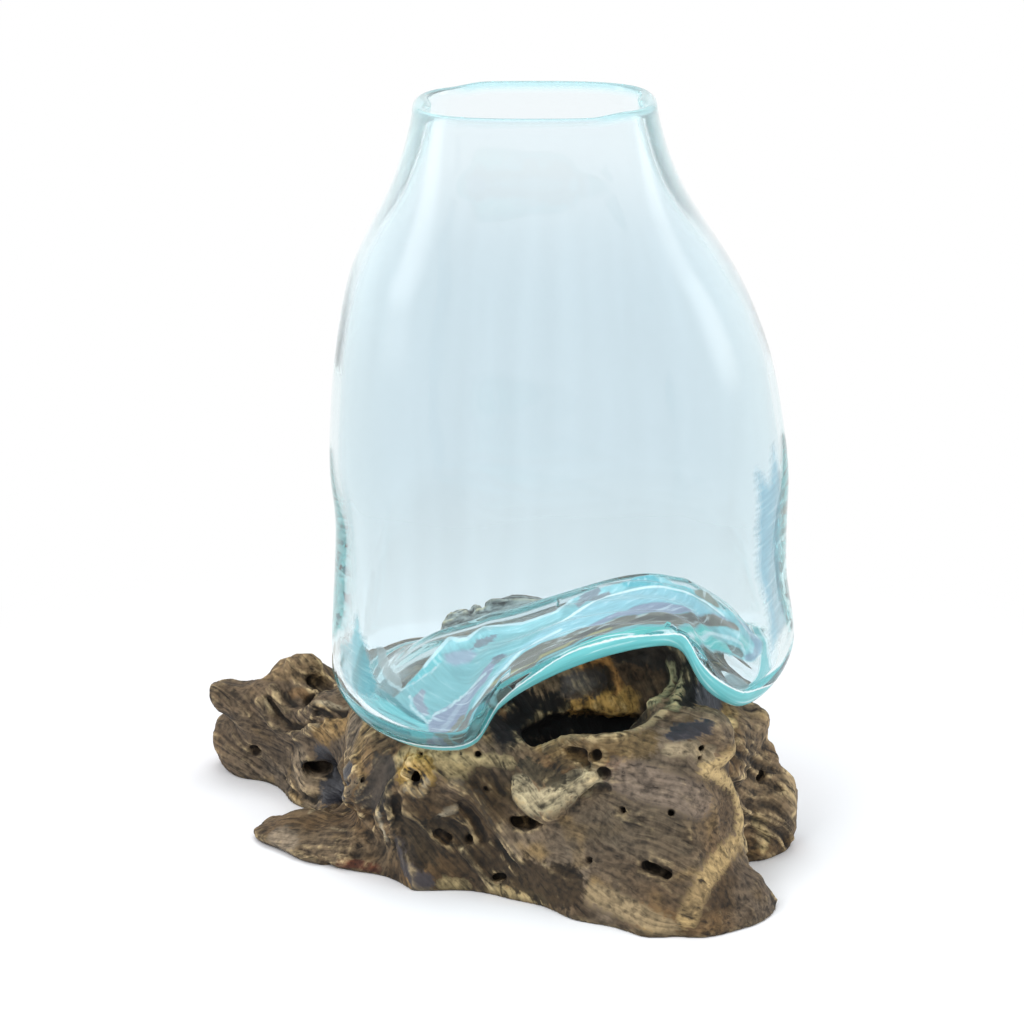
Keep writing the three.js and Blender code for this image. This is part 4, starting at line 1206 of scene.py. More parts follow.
# Holes, grooves and ridges of the wood
MARKS = (
    *marks(
        MarkKind.HOLE,
        (3.6, 12, -89, 38, 18, -83, 35, 18.5), (3.3, 8, -41, -52, 53, -39, -52, 48), (1.6, 5, -36, -53, 45),
        (1.3, 5, -14, -51, 60), (2.0, 2.5, -12, -55, 45), (2.4, 9, -1, -61, 34, 6, -62, 34, 12, -64, 36),
        (1.8, 6, -31, -53, 24, -27, -53, 22), (1.7, 6, -18, -54, 23), (1.5, 5, -9, -58, 7, -5, -60, 9),
        (1.4, 6, 44, -78, 46), (1.4, 6, 64, -80, 46), (2.0, 9, 52, -90, 27, 57, -91, 26, 62, -93, 25),
        (1.2, 4, 31, -77, 24), (1.4, 6, 77, -70, 69.5), (1.4, 6, 77, -71, 65), (1.8, 6, 108, -18, 37),
        (2.8, 5, 24, -67, 67, 28, -69, 67), (2.2, 5, 34, -72, 68), (1.5, 5, 30, -71, 63), (2.6, 4, 37, -74, 60),
        (2.4, 5, -117, 70, 15), (3.0, 3, -91, 57, 45), (3.6, 5, -88, 64, 53, -84, 62, 51, -82, 59, 47),
        (1.3, 5, -38, -50, 59),
    ),
    *marks(
        MarkKind.GROOVE,
        (0.8, 1.2, 44, -78, 46, 52, -81, 43, 58, -83, 41, 66, -84, 38, 74, -85, 34),
        (2.2, 2.8, -110, 63, 42, -105, 59, 35, -100, 56, 32, -93, 46, 35, -84, 34, 43),
        (1.7, 3.0, -86, 40, 45, -80, 34, 47, -74, 30, 48),
        (1.4, 2.0, -105, 56, 6, -101, 53, 5, -96, 43, 5, -89, 34, 5, -86, 34, 8),
        (6.0, 3.5, -53, -43, 52, -57, -43, 43, -61, -39, 33, -62, -34, 22),
        (3.0, 3.0, -46, -48, 40, -47, -47, 30, -45, -48, 18), (1.3, 1.4, -84, -22, 4, -76, -28, 7, -66, -32, 8),
        (2.0, 2.0, -22, -53, 38, -16, -55, 31, -12, -56, 24), (2.4, 2.6, 22, -67, 47, 30, -70, 52, 38, -73, 54),
        (2.5, 3.0, 94, -55, 52, 97, -44, 40, 101, -32, 24),
    ),
    *marks(
        MarkKind.RIDGE,
        (2.2, 1.6, -45, -51, 52, -42, -51, 57, -37, -52, 56, -34, -53, 51, -37, -54, 45, -43, -53, 46),
        (2.6, 3.0, 2, -58, 51, 3, -59, 45, 9, -63, 40, 14, -65, 38, 20, -67, 43, 26, -68, 52, 32, -71, 58),
        (3.4, 2.6, -23, -54, 49, -15, -55, 43, -7, -57, 34, -2, -60, 27, 6, -62, 20),
        (2.0, 1.8, 10, -60, 67, 20, -62, 71, 32, -69, 73, 42, -68, 76, 51, -66, 78, 62, -61, 82),
        (
            3.2, 1.3, 91, -35, 68, 86, -60, 66, 78, -71, 61, 83, -68, 58, 90, -57, 48, 93, -58, 37, 93, -63, 28,
            98, -50, 16,
        ),
        (1.4, 1.8, -30, 79, 50, -29, 80, 62, -28, 82, 72), (1.6, 2.2, -22, 79, 52, -21, 79, 64, -21, 82, 74),
        (1.4, 2.0, -13, 80, 56, -13, 80, 66, -12, 83, 75), (1.5, 1.8, -5, 80, 58, -4, 80, 68, -3, 83, 77),
        (1.4, 1.4, -31, -53, 31, -28, -53, 35, -24, -54, 37),
        (1.3, 1.3, -21, -54, 20, -16, -55, 14, -12, -57, 9, -8, -58, 4),
        (1.8, 2.0, -66, -26, 52, -64, -36, 44, -66, -28, 34, -72, -14, 22),
        (1.6, 1.8, -50, -47, 36, -49, -47, 26, -46, -48, 18), (4.2, 3.4, -1, -38, 75),
        (2.2, 1.8, 66, -30, 92, 63, -36, 84, 58, -50, 82), (2.0, 1.6, 73, -36, 90, 69, -46, 84, 66, -57, 83),
        (6.5, 4.0, 27, -21, 79, 33, -23, 81), (5.0, 3.0, 38, -26, 72, 46, -27, 73),
        (2.6, 2.4, -112, 66, 40, -106, 62, 32, -99, 58, 28, -92, 48, 30, -84, 36, 39),
        (2.2, 2.0, -106, 68, 46, -99, 62, 38, -92, 54, 38, -84, 44, 44), (5.0, 3.5, -97, 74, 53, -90, 72, 54),
    ),
    *marks(
        MarkKind.GROOVE,
        (1.0, 1.2, 93, -44, 61, 99, -32, 56, 107, -15, 48), (1.1, 1.4, 95, -42, 57, 103, -24, 46, 115, -7, 35),
        (1.2, 1.6, 96, -42, 50, 104, -20, 38, 116, -11, 28), (1.1, 1.6, 95, -46, 45, 97, -32, 36, 103, -23, 23),
        (1.0, 1.4, 93, -52, 38, 96, -40, 28, 98, -30, 20), (0.8, 1.2, 13, -68, 21, 19, -71, 19, 28, -77, 17),
        (1.0, 1.5, -49, -41, 58, -61, -38, 44, -75, 27, 10, -84, 9, 11),
        (1.0, 1.5, -47, -47, 53, -56, -44, 42, -65, -31, 27, -75, -8, 12), (9.0, 4.0, -43, -50, 26, -38, -52, 16),
        (7.0, 3.0, -30, -53, 29, -22, -54, 25), (1.0, 1.6, -91, -19, 5, -82, -25, 4, -75, -27, 1),
    ),
)

# Colours of the wood, from the widest to the finest; some are painted shade in the cavity under the knob, in grooves
# and in holes
STAINS = (
    Stain((80, 67, 52), 42, 0.85, (-122, 80, 28, -98, 62, 34, -80, 40, 36)),
    Stain((79, 69, 55), 30, 0.85, (36, -76, 44, 56, -84, 36, 62, -84, 52)),
    Stain((52, 39, 22), 24, 0.9, (-34, -53, 34, -20, -53, 18, -10, -55, 44)),
    Stain((100, 84, 62), 24, 0.8, (103, -24, 48, 112, -12, 24)),
    Stain((94, 80, 62), 16, 0.85, (-96, -14, 4, -76, -26, 8, -58, -36, 14)),
    Stain((62, 47, 32), 27, 1.0, (44, -24, 78, 62, -28, 86)),
    # Painted shade in the cavity under the knob.
    Stain((16, 13, 12), 17, 0.97, (2, -42, 66, 20, -36, 62, 40, -42, 64, 56, -46, 70)),
    Stain((26, 22, 19), 9.5, 0.9, (44, -20, 100, 58, -26, 98, 72, -33, 93), 0.3),
    Stain((158, 122, 66), 8, 0.85, (28, -27, 71, 37, -28, 71, 46, -27, 74)),
    Stain((152, 106, 54), 4, 0.8, (30, -20, 90, 38, -23, 91)),
    Stain((60, 56, 55), 7, 0.85, (26, -21, 79, 33, -23, 81), 0.3),
    Stain((54, 58, 68), 9, 0.85, (78, -38, 84, 83, -34, 78, 86, -46, 76), 0.3),
    Stain((136, 132, 100), 3.6, 0.9, (66, -30, 90, 63, -36, 84, 58, -50, 82)),
    Stain((134, 130, 98), 3.4, 0.9, (73, -36, 90, 69, -46, 84, 66, -57, 83)),
    Stain((172, 156, 120), 2.0, 0.9, (12, -60, 68, 20, -62, 71, 32, -69, 73, 42, -68, 76, 51, -66, 78, 62, -61, 82)),
    Stain((104, 72, 40), 4.5, 0.7, (24, -65, 66, 34, -71, 68, 40, -72, 66)),
    Stain((48, 48, 56), 3.6, 0.95, (66, -69, 75, 72, -68, 77, 79, -66, 78), 0.6),
    Stain((50, 46, 42), 8, 0.8, (-53, -43, 50, -57, -42, 42, -61, -38, 32), 0.4),
    Stain((28, 25, 24), 4, 0.8, (-50, -46, 44, -50, -46, 34)),
    Stain((48, 44, 48), 5, 0.95, (-47, -47, 17, -43, -50, 10, -37, -53, 3), 0.7),
    Stain((182, 158, 112), 3.6, 0.9, (
        91, -35, 68, 86, -60, 66, 78, -71, 61, 83, -68, 58, 90, -57, 48, 93, -58, 37, 93, -63, 28, 98, -50, 16,
        103, -34, 6,
    )),
    Stain((166, 142, 98), 4.6, 0.8, (90, -68, 27, 84, -82, 26, 77, -93, 21, 73, -98, 14, 70, -99, 8)),
    Stain((134, 117, 88), 5.5, 0.95, (34, -82, 11, 42, -89, 10, 52, -97, 8, 62, -100, 4)),
    Stain((150, 134, 96), 3.2, 0.85, (-28, -53, 3, -20, -54, 2)),
    Stain((150, 134, 96), 3.4, 0.85, (-8, -58, 3, 0, -62, 3, 12, -70, 3)),
    Stain((74, 64, 54), 13, 0.85, (96, -80, 12, 104, -64, 8)),
    Stain((150, 130, 98), 4, 0.8, (116, -4, 32, 119, -5, 18)),
    Stain((158, 138, 102), 3, 0.85, (106, -21, 17, 107, -20, 8)),
    Stain((132, 106, 66), 7, 0.8, (-82, 30, 39, -77, 27, 44, -73, 22, 47)),
    Stain((130, 114, 92), 9, 0.8, (-94, 42, 20, -91, 39, 12, -88, 36, 8)),
    Stain((38, 40, 47), 8.5, 0.97, (-80, 33, 26, -77, 31, 18, -79, 31, 12), 0.9),
    Stain((114, 94, 66), 8, 0.7, (-109, 77, 52, -95, 70, 56, -84, 70, 55)),
    Stain((132, 118, 100), 6, 0.8, (-100, -8, 5, -96, -14, 5)),
    Stain((88, 42, 26), 2.6, 0.8, (-72, -31, 3, -66, -34, 4, -58, -38, 3)),
    Stain((164, 152, 122), 6, 0.95, (4, -60, 49, 9, -62, 44, 15, -65, 45, 24, -68, 52, 32, -71, 58)),
    Stain((146, 130, 92), 6, 0.75, (-46, -48, 57, -32, -52, 58, -22, -53, 56)),
    Stain((150, 120, 58), 4.6, 0.85, (-45, -50, 51, -43, -50, 56, -37, -52, 56, -36, -53, 51)),
    Stain((168, 156, 132), 2.0, 0.85, (-35, -53, 50, -38, -54, 44, -43, -53, 46)),
    Stain((150, 140, 120), 1.8, 0.8, (-31, -53, 31, -28, -53, 35, -24, -54, 37)),
    Stain((170, 155, 120), 1.6, 0.8, (-21, -54, 20, -16, -55, 14, -12, -57, 9, -8, -58, 4)),
    Stain((128, 116, 100), 2.4, 0.7, (-23, -54, 49, -15, -55, 43, -7, -57, 34, -2, -60, 27)),
    Stain((130, 116, 96), 1.8, 0.75, (-66, -26, 52, -64, -36, 44, -66, -28, 34, -72, -14, 22)),
    # Painted shade at the left end of the cavity under the knob.
    Stain((18, 17, 19), 9, 0.95, (-7, -34, 80, -5, -40, 73, -1, -45, 69)),
    Stain((130, 98, 60), 4.5, 0.9, (-1, -39, 76)),
    # Painted shade in the cavity under the knob, in this stain and the next.
    Stain((8, 7, 7), 10, 0.97, (4, -36, 76, 12, -36, 70, 20, -38, 66)),
    Stain((8, 7, 7), 9.5, 0.97, (24, -42, 62, 36, -42, 60, 50, -42, 62)),
    Stain((12, 10, 9), 4, 0.95, (74, -35, 91, 73, -40, 85, 71, -54, 83)),
    Stain((150, 108, 60), 1.8, 0.8, (38, -24, 93, 42, -23, 86, 45, -24, 80, 42, -26, 74)),
    # Painted shade inside the hole at the left.
    Stain((8, 7, 7), 3.2, 0.95, (-91, 39, 20, -86, 37, 20, -82, 36, 17)),
    Stain((14, 12, 11), 2.6, 0.9, (-51, -47, 48, -53, -47, 41, -55, -44, 33)),
    Stain((150, 136, 108), 0.8, 0.8, (-52, -42, 56, -63, -37, 42, -77, 24, 10, -88, 4, 11)),
    Stain((150, 136, 108), 0.7, 0.8, (-46, -47, 56, -58, -42, 42, -67, -32, 27, -78, -10, 11)),
    Stain((170, 160, 138), 1.3, 0.85, (-56, -43, 31, -54, -41, 23, -53, -38, 16)),
    # Painted shade in the two wide grooves low at the front, in this stain and the next.
    Stain((50, 41, 27), 9, 0.8, (-44, -50, 27, -38, -52, 17)),
    Stain((44, 36, 25), 6.0, 0.8, (-31, -53, 28, -20, -54, 25)),
    Stain((52, 48, 36), 4.5, 0.8, (7, -58, 57, 12, -62, 55, 18, -65, 54)),
    Stain((146, 132, 106), 3.4, 0.75, (64, -72, 70, 72, -71, 70, 80, -69, 67)),
    Stain((28, 29, 35), 3.0, 0.97, (66, -69, 76, 72, -68, 77, 79, -66, 78), 0.7),
    Stain((152, 138, 112), 1.4, 0.8, (-110, 64, 41, -101, 57, 33, -93, 45, 35, -85, 34, 41)),
    Stain((152, 140, 116), 1.5, 0.8, (-85, 43, 47, -79, 38, 49, -73, 33, 50)),
    Stain((124, 94, 58), 2.4, 0.5, (-98, 62, 46, -94, 61, 47, -89, 55, 46)),
    Stain((152, 136, 100), 2.8, 0.8, (-23, -52, 59, -12, -52, 58, -1, -55, 58)),
    Stain((176, 156, 112), 1.6, 0.85, (103, -23, 19, 109, -20, 11, 107, -21, 4)),
    Stain((170, 150, 112), 1.6, 0.8, (116, -11, 28, 122, -6, 20, 120, -11, 17)),
    Stain((162, 163, 160), 8, 0.88, (-32, 80, 62, -24, 81, 70, -8, 82, 76, 12, 83, 80)),
    Stain((46, 35, 21), 9.5, 0.9, (-12, -56, 17, -4, -58, 15, 2, -62, 13, 14, -68, 10, 24, -74, 10)),
    Stain((90, 74, 46), 6, 0.8, (20, -62, 66, 32, -69, 66, 44, -70, 70, 54, -70, 72)),
    Stain((124, 110, 98), 8, 0.5, (44, -76, 60, 60, -80, 56, 76, -78, 50)),
    Stain((74, 60, 45), 8, 0.45, (34, -80, 26, 52, -88, 19, 74, -92, 14)),
    Stain((34, 27, 20), 0.6, 0.85, (44, -78, 46, 54, -81, 43, 65, -84, 39, 73, -84, 35)),
    Stain((34, 27, 20), 0.5, 0.85, (13, -68, 21, 19, -71, 19, 28, -77, 17)),
    Stain((36, 38, 45), 4.0, 0.95, (-69, -28, 44, -70, -26, 38, -71, -24, 31), 0.8),
    Stain((128, 88, 50), 3.0, 0.7, (2, -32, 86, 8, -32, 88)),
    # Painted shade inside the hole at the front left.
    Stain((16, 12, 10), 2.8, 0.95, (-41, -52, 53, -39, -52, 49)),
    # Painted shade deep in the cavity under the knob, in this stain and the next.
    Stain((7, 6, 6), 7, 1.0, (2, -36, 71, 10, -32, 67, 20, -27, 63, 32, -22, 60, 50, -24, 61)),
    Stain((7, 6, 6), 8, 1.0, (12, -40, 58, 30, -34, 54, 48, -36, 56)),
)


@dataclass(frozen=True)
class Grain:
    """A run of the grain: where it holds, how far round, which way it goes, and in which layer of fibres.

    Runs that lie side by side are in different layers, so that fibres of both fade into each other.
    """

    centre: Vector3
    spread: float
    along: Vector3
    height: float
    layer: int


GRAINS = (
    Grain((52, -80, 44), 30, (0.9, -0.25, -0.22), 0.3, 0),
    Grain((106, -22, 36), 26, (0.55, 0.45, -0.6), 1.2, 1),
    Grain((-105, 68, 36), 34, (0.72, -0.6, -0.3), 0.75, 2),
    Grain((-60, -20, 30), 22, (-0.5, 0.25, -0.8), 1.1, 1),
    Grain((-86, -16, 6), 16, (0.9, -0.4, 0.1), 0.35, 0),
    Grain((-15, -55, 34), 26, (0.62, -0.2, -0.7), 0.6, 2),
    Grain((50, -25, 84), 26, (0.3, -0.5, -0.8), 0.7, 0),
    Grain((20, 95, 50), 60, (0.95, 0.1, 0.2), 1.0, 0),
    Grain((110, 40, 30), 30, (-0.3, 0.9, 0.2), 1.0, 2),
    Grain((24, -66, 50), 15, (0.6, -0.4, 0.7), 0.6, 1),
)
LAYERS = 3


class GrainRelief:
    """Geometry Nodes that raise the fibres along the surface of the wood and give it its finish."""

    def __init__(self, coarse: float, fine: float, size: float) -> None:
        """Stores the sizes.

        Args:
            coarse: Height of the coarse fibres, in mm.
            fine: Height of the fine grit, in mm.
            size: Width of the grit, in mm.
        """
        self.inputs = {"Coarse Height": coarse * MM, "Fine Height": fine * MM, "Grit Scale": 1 / (size * MM)}

    def tree(self) -> bpy.types.NodeTree:
        """The node tree, with an input for each size and one for the material."""
        tree = bpy.data.node_groups.new("grain_relief", "GeometryNodeTree")
        face = tree.interface
        face.new_socket("Geometry", in_out="INPUT", socket_type="NodeSocketGeometry")
        for name in self.inputs:
            face.new_socket(name, in_out="INPUT", socket_type="NodeSocketFloat")
        face.new_socket("Wood", in_out="INPUT", socket_type="NodeSocketMaterial")
        face.new_socket("Geometry", in_out="OUTPUT", socket_type="NodeSocketGeometry")
        nodes = Nodes(tree)
        given, made = nodes.add("NodeGroupInput"), nodes.add("NodeGroupOutput")
        grit = nodes.noise(nodes.add("GeometryNodeInputPosition").outputs[0], 1.0, 2.0)
        nodes.give(grit.node.inputs["Scale"], given.outputs["Grit Scale"])
        low = nodes.times(nodes.math("SUBTRACT", grit, 0.5), given.outputs["Fine Height"])
        high = nodes.times(nodes.named("coarse"), given.outputs["Coarse Height"])
        rise = nodes.times(nodes.plus(low, high), nodes.named("free"))
        move = nodes.add("GeometryNodeSetPosition")
        nodes.give(move.inputs["Geometry"], given.outputs["Geometry"])
        normal = nodes.add("GeometryNodeInputNormal").outputs[0]
        nodes.give(move.inputs["Offset"], nodes.scale(normal, rise))
        real = nodes.add("GeometryNodeRealizeInstances")
        nodes.give(real.inputs["Geometry"], move.outputs["Geometry"])
        finish = nodes.add("GeometryNodeSetMaterial")
        nodes.give(finish.inputs["Geometry"], real.outputs["Geometry"])
        nodes.give(finish.inputs["Material"], given.outputs["Wood"])
        nodes.give(made.inputs["Geometry"], finish.outputs["Geometry"])
        return tree

    def apply(self, obj: bpy.types.Object, material: bpy.types.Material) -> None:
        """Raises the fibres of a mesh that carries how high they are and how free it is to move.

        Args:
            obj: The mesh object, with the attributes coarse and free.
            material: Its finish.
        """
        modifier = obj.modifiers.new("grain_relief", "NODES")
        modifier.node_group = self.tree()
        for item in modifier.node_group.interface.items_tree:
            if item.in_out == "INPUT" and item.name in self.inputs:
                modifier[item.identifier] = self.inputs[item.name]
            elif item.in_out == "INPUT" and item.name == "Wood":
                modifier[item.identifier] = material
        whole = obj.evaluated_get(bpy.context.evaluated_depsgraph_get())
        mesh = bpy.data.meshes.new_from_object(whole)
        obj.modifiers.remove(modifier)
        before, obj.data = obj.data, mesh
        bpy.data.meshes.remove(before)
        mesh.name = obj.name


class WoodField:
    """The wood's body: a lattice of values that are below 0 inside it, and the skin drawn round them."""

    def __init__(self, shape: RootShape, vase: VaseShape) -> None:
        """Stores the sizes and the vase that it carries, and lays out the lattice."""
        self.shape = shape
        self.vase = vase
        self.axes = [np.arange(a, b, shape.cell) for a, b in zip(shape.low, shape.high)]
        self.grid = np.stack(np.meshgrid(*self.axes, indexing="ij"), 3)

    def wood_top(self, x: np.ndarray, y: np.ndarray) -> np.ndarray:
        """Height of the wood's own top, weighted from the places around."""
        total, weights = np.zeros(x.shape), np.zeros(x.shape)
        for px, py, height in self.shape.tops:
            weight = 1 / ((x - px) ** 2 + (y - py) ** 2 + self.shape.top_reach**2) ** 2
            total += weight * height
            weights += weight
        return total / weights

    def fill(self) -> None:
        """Fills the lattice: the block under its top, its lobes, limbs and hollows, its marks and its seat."""
        s = self.shape
        x, y = self.grid[:, :, 0, 0], self.grid[:, :, 0, 1]
        z = self.axes[2][None, None, :]
        top = np.minimum(self.wood_top(x, y), self.vase.underside(x, y) + s.seat_press)
        right_side = s.right_y(y) * s.right_x(x)
        front = s.left_lean + (s.front_lean - s.left_lean) * s.front_x(x)
        right = np.where(z > s.mid_height, s.right_lean_high, s.right_lean_low)
        lean = front[:, :, None] + (right - front[:, :, None]) * right_side[:, :, None]
        side = distance_to(np.array(s.outline, float), x, y)[:, :, None] + lean * (z - s.mid_height)
        self.values = -blend(-side, -(z - top[:, :, None]), s.edge)
        for how, forms in ((blend, s.added), (carve, s.taken)):
            for form, soft in forms:
                self.combine(how, soft, soft + s.form_window, form)
        for kx, ky, kz, start, share in s.waves:
            wave = np.sin(kx * self.grid[..., 0] + ky * self.grid[..., 1] + kz * self.grid[..., 2] + start)
            self.values += s.grain_wave * share * wave
        self.base = self.values.copy()
        self.add_marks()
        ceiling = self.vase.ceiling(x, y) - s.seat_gap
        steep = np.minimum(np.hypot(*np.gradient(np.minimum(ceiling, s.out_of_reach), s.cell)), s.steepest)
        seat = (z - ceiling[:, :, None]) / np.sqrt(1 + steep**2)[:, :, None]
        self.values = np.maximum(np.maximum(self.values, seat), -z)
        self.values[[0, -1]] = self.values[:, [0, -1]] = self.values[:, :, [0, -1]] = 1.0

    def combine(self, how: Callable, soft: float, around: float, form: Egg | Limb) -> None:
        """Joins on or takes out one form, only near it.

        Args:
            how: blend or carve.
            soft: Softness of the joint, in mm.
            around: How far round the form to work, in mm.
            form: The form.
        """
        middle, reach = form.box()
        reach += around
        window = tuple(
            slice(int(np.searchsorted(axis, centre - reach)), int(np.searchsorted(axis, centre + reach)))
            for axis, centre in zip(self.axes, middle)
        )
        part = self.grid[window]
        if part.size:
            made = form.field(part.reshape(-1, 3)).reshape(part.shape[:3])
            self.values[window] = how(self.values[window], made, soft)

    def sample(self, p: np.ndarray) -> tuple[np.ndarray, np.ndarray]:
        """The unmarked field and its direction at points, from the lattice."""
        s = self.shape
        at = np.clip((p - np.array(s.low)) / s.cell, 1, np.array(self.base.shape) - 3)
        i = at.astype(int)
        f = at - i
        total, slope = np.zeros(len(p)), np.zeros_like(p)
        for o in CORNERS:
            j = i + np.array(o)
            value = self.base[j[:, 0], j[:, 1], j[:, 2]]
            share = np.where(o, f, 1 - f)
            total += value * np.prod(share, 1)
            for k in range(3):
                a, b = (m for m in range(3) if m != k)
                slope[:, k] += (1 if o[k] else -1) * value * share[:, a] * share[:, b] / s.cell
        return total, slope / np.maximum(np.linalg.norm(slope, axis=1, keepdims=True), 1e-9)

    def settle(self, p: np.ndarray) -> tuple[np.ndarray, np.ndarray]:
        """Points moved onto the unmarked surface, and the way out of the wood there."""
        for _ in range(4):
            value, out = self.sample(p)
            p = p - value[:, None] * out * self.shape.settle_share
        return p, self.sample(p)[1]

    def dense(self, points: np.ndarray) -> np.ndarray:
        """A line's points with more put in, so that it can follow the surface."""
        p = [points[0]]
        for a, b in zip(points, points[1:]):
            steps = max(int(np.ceil(np.linalg.norm(b - a) / self.shape.line_step)), 1)
            p += [a + (b - a) * (k + 1) / steps for k in range(steps)]
        return np.array(p)

    def add_marks(self) -> None:
        """Cuts the holes and grooves and raises the ridges."""
        s = self.shape
        for mark in MARKS:
            r, p = mark.radius, np.array(mark.points, float).reshape(-1, 3)
            p, out = self.settle(p if mark.kind is MarkKind.HOLE else self.dense(p))
            how, soft = (blend, s.ridge_edge) if mark.kind is MarkKind.RIDGE else (carve, s.cut_edge)
            around = s.hole_window if mark.kind is MarkKind.HOLE else s.line_window
            shifts = [r - mark.depth if mark.kind is MarkKind.GROOVE else mark.depth - r]
            if mark.kind is MarkKind.HOLE:
                for place, way in zip(p, out):
                    bottom = place - way * mark.depth
                    drilled = Limb(place + way * s.hole_mouth, bottom, r, r * s.hole_taper)
                    self.combine(how, soft, around, drilled)
                shifts = -np.linspace(0, mark.depth, 4)[:-1]
            for a, b in zip(range(len(p)), range(1, len(p))) if len(p) > 1 else [(0, 0)]:
                for shift in shifts:
                    line = Limb(p[a] + out[a] * shift, p[b] + out[b] * shift, r, r)
                    self.combine(how, soft, around, line)

    def skin(self) -> tuple[np.ndarray, np.ndarray]:
        """Closed surface of the filled lattice, with one point in each cell that it crosses.

        Returns:
            Points in mm, and quads that face out.
        """
        full = self.values < 0
        shape = tuple(n - 1 for n in full.shape)

        def at(grid: np.ndarray, o: tuple[int, int, int]) -> np.ndarray:
            """One corner of every cell."""
            return grid[tuple(slice(k, k + n) for k, n in zip(o, shape))]

        count = sum(at(full, o).astype(np.int8) for o in CORNERS)
        mixed = (count > 0) & (count < 8)
        number = np.full(shape, -1, np.int64)
        where = np.argwhere(mixed)
        number[mixed] = np.arange(len(where))
        total, found = np.zeros((len(where), 3)), np.zeros(len(where))
        corner_values = {o: at(self.values, o)[mixed] for o in CORNERS}
        for a, va in corner_values.items():
            for b, vb in corner_values.items():
                if a < b and sum(abs(i - j) for i, j in zip(a, b)) == 1:
                    cross = (va < 0) != (vb < 0)
                    t = np.where(cross, va / np.where(cross, va - vb, 1), 0)
                    point = np.array(a) + t[:, None] * (np.array(b) - np.array(a))
                    total += np.where(cross[:, None], point, 0)
                    found += cross
        points = (where + total / found[:, None]) * self.shape.cell + np.array(self.shape.low)
        quads = []
        for n in range(3):
            here, after = np.moveaxis(full, n, 0)[:-1], np.moveaxis(full, n, 0)[1:]
            edge = np.argwhere(np.moveaxis(here != after, 0, n))
            inside = full[tuple(edge.T)]
            u, v = np.eye(3, dtype=int)[(n + 1) % 3], np.eye(3, dtype=int)[(n + 2) % 3]
            ring = [number[tuple((edge - i * u - j * v).T)] for i, j in ((0, 0), (1, 0), (1, 1), (0, 1))]
            ring = np.stack(ring, 1)
            ring[~inside] = ring[~inside][:, ::-1]
            quads.append(ring)
        return points, np.concatenate(quads)


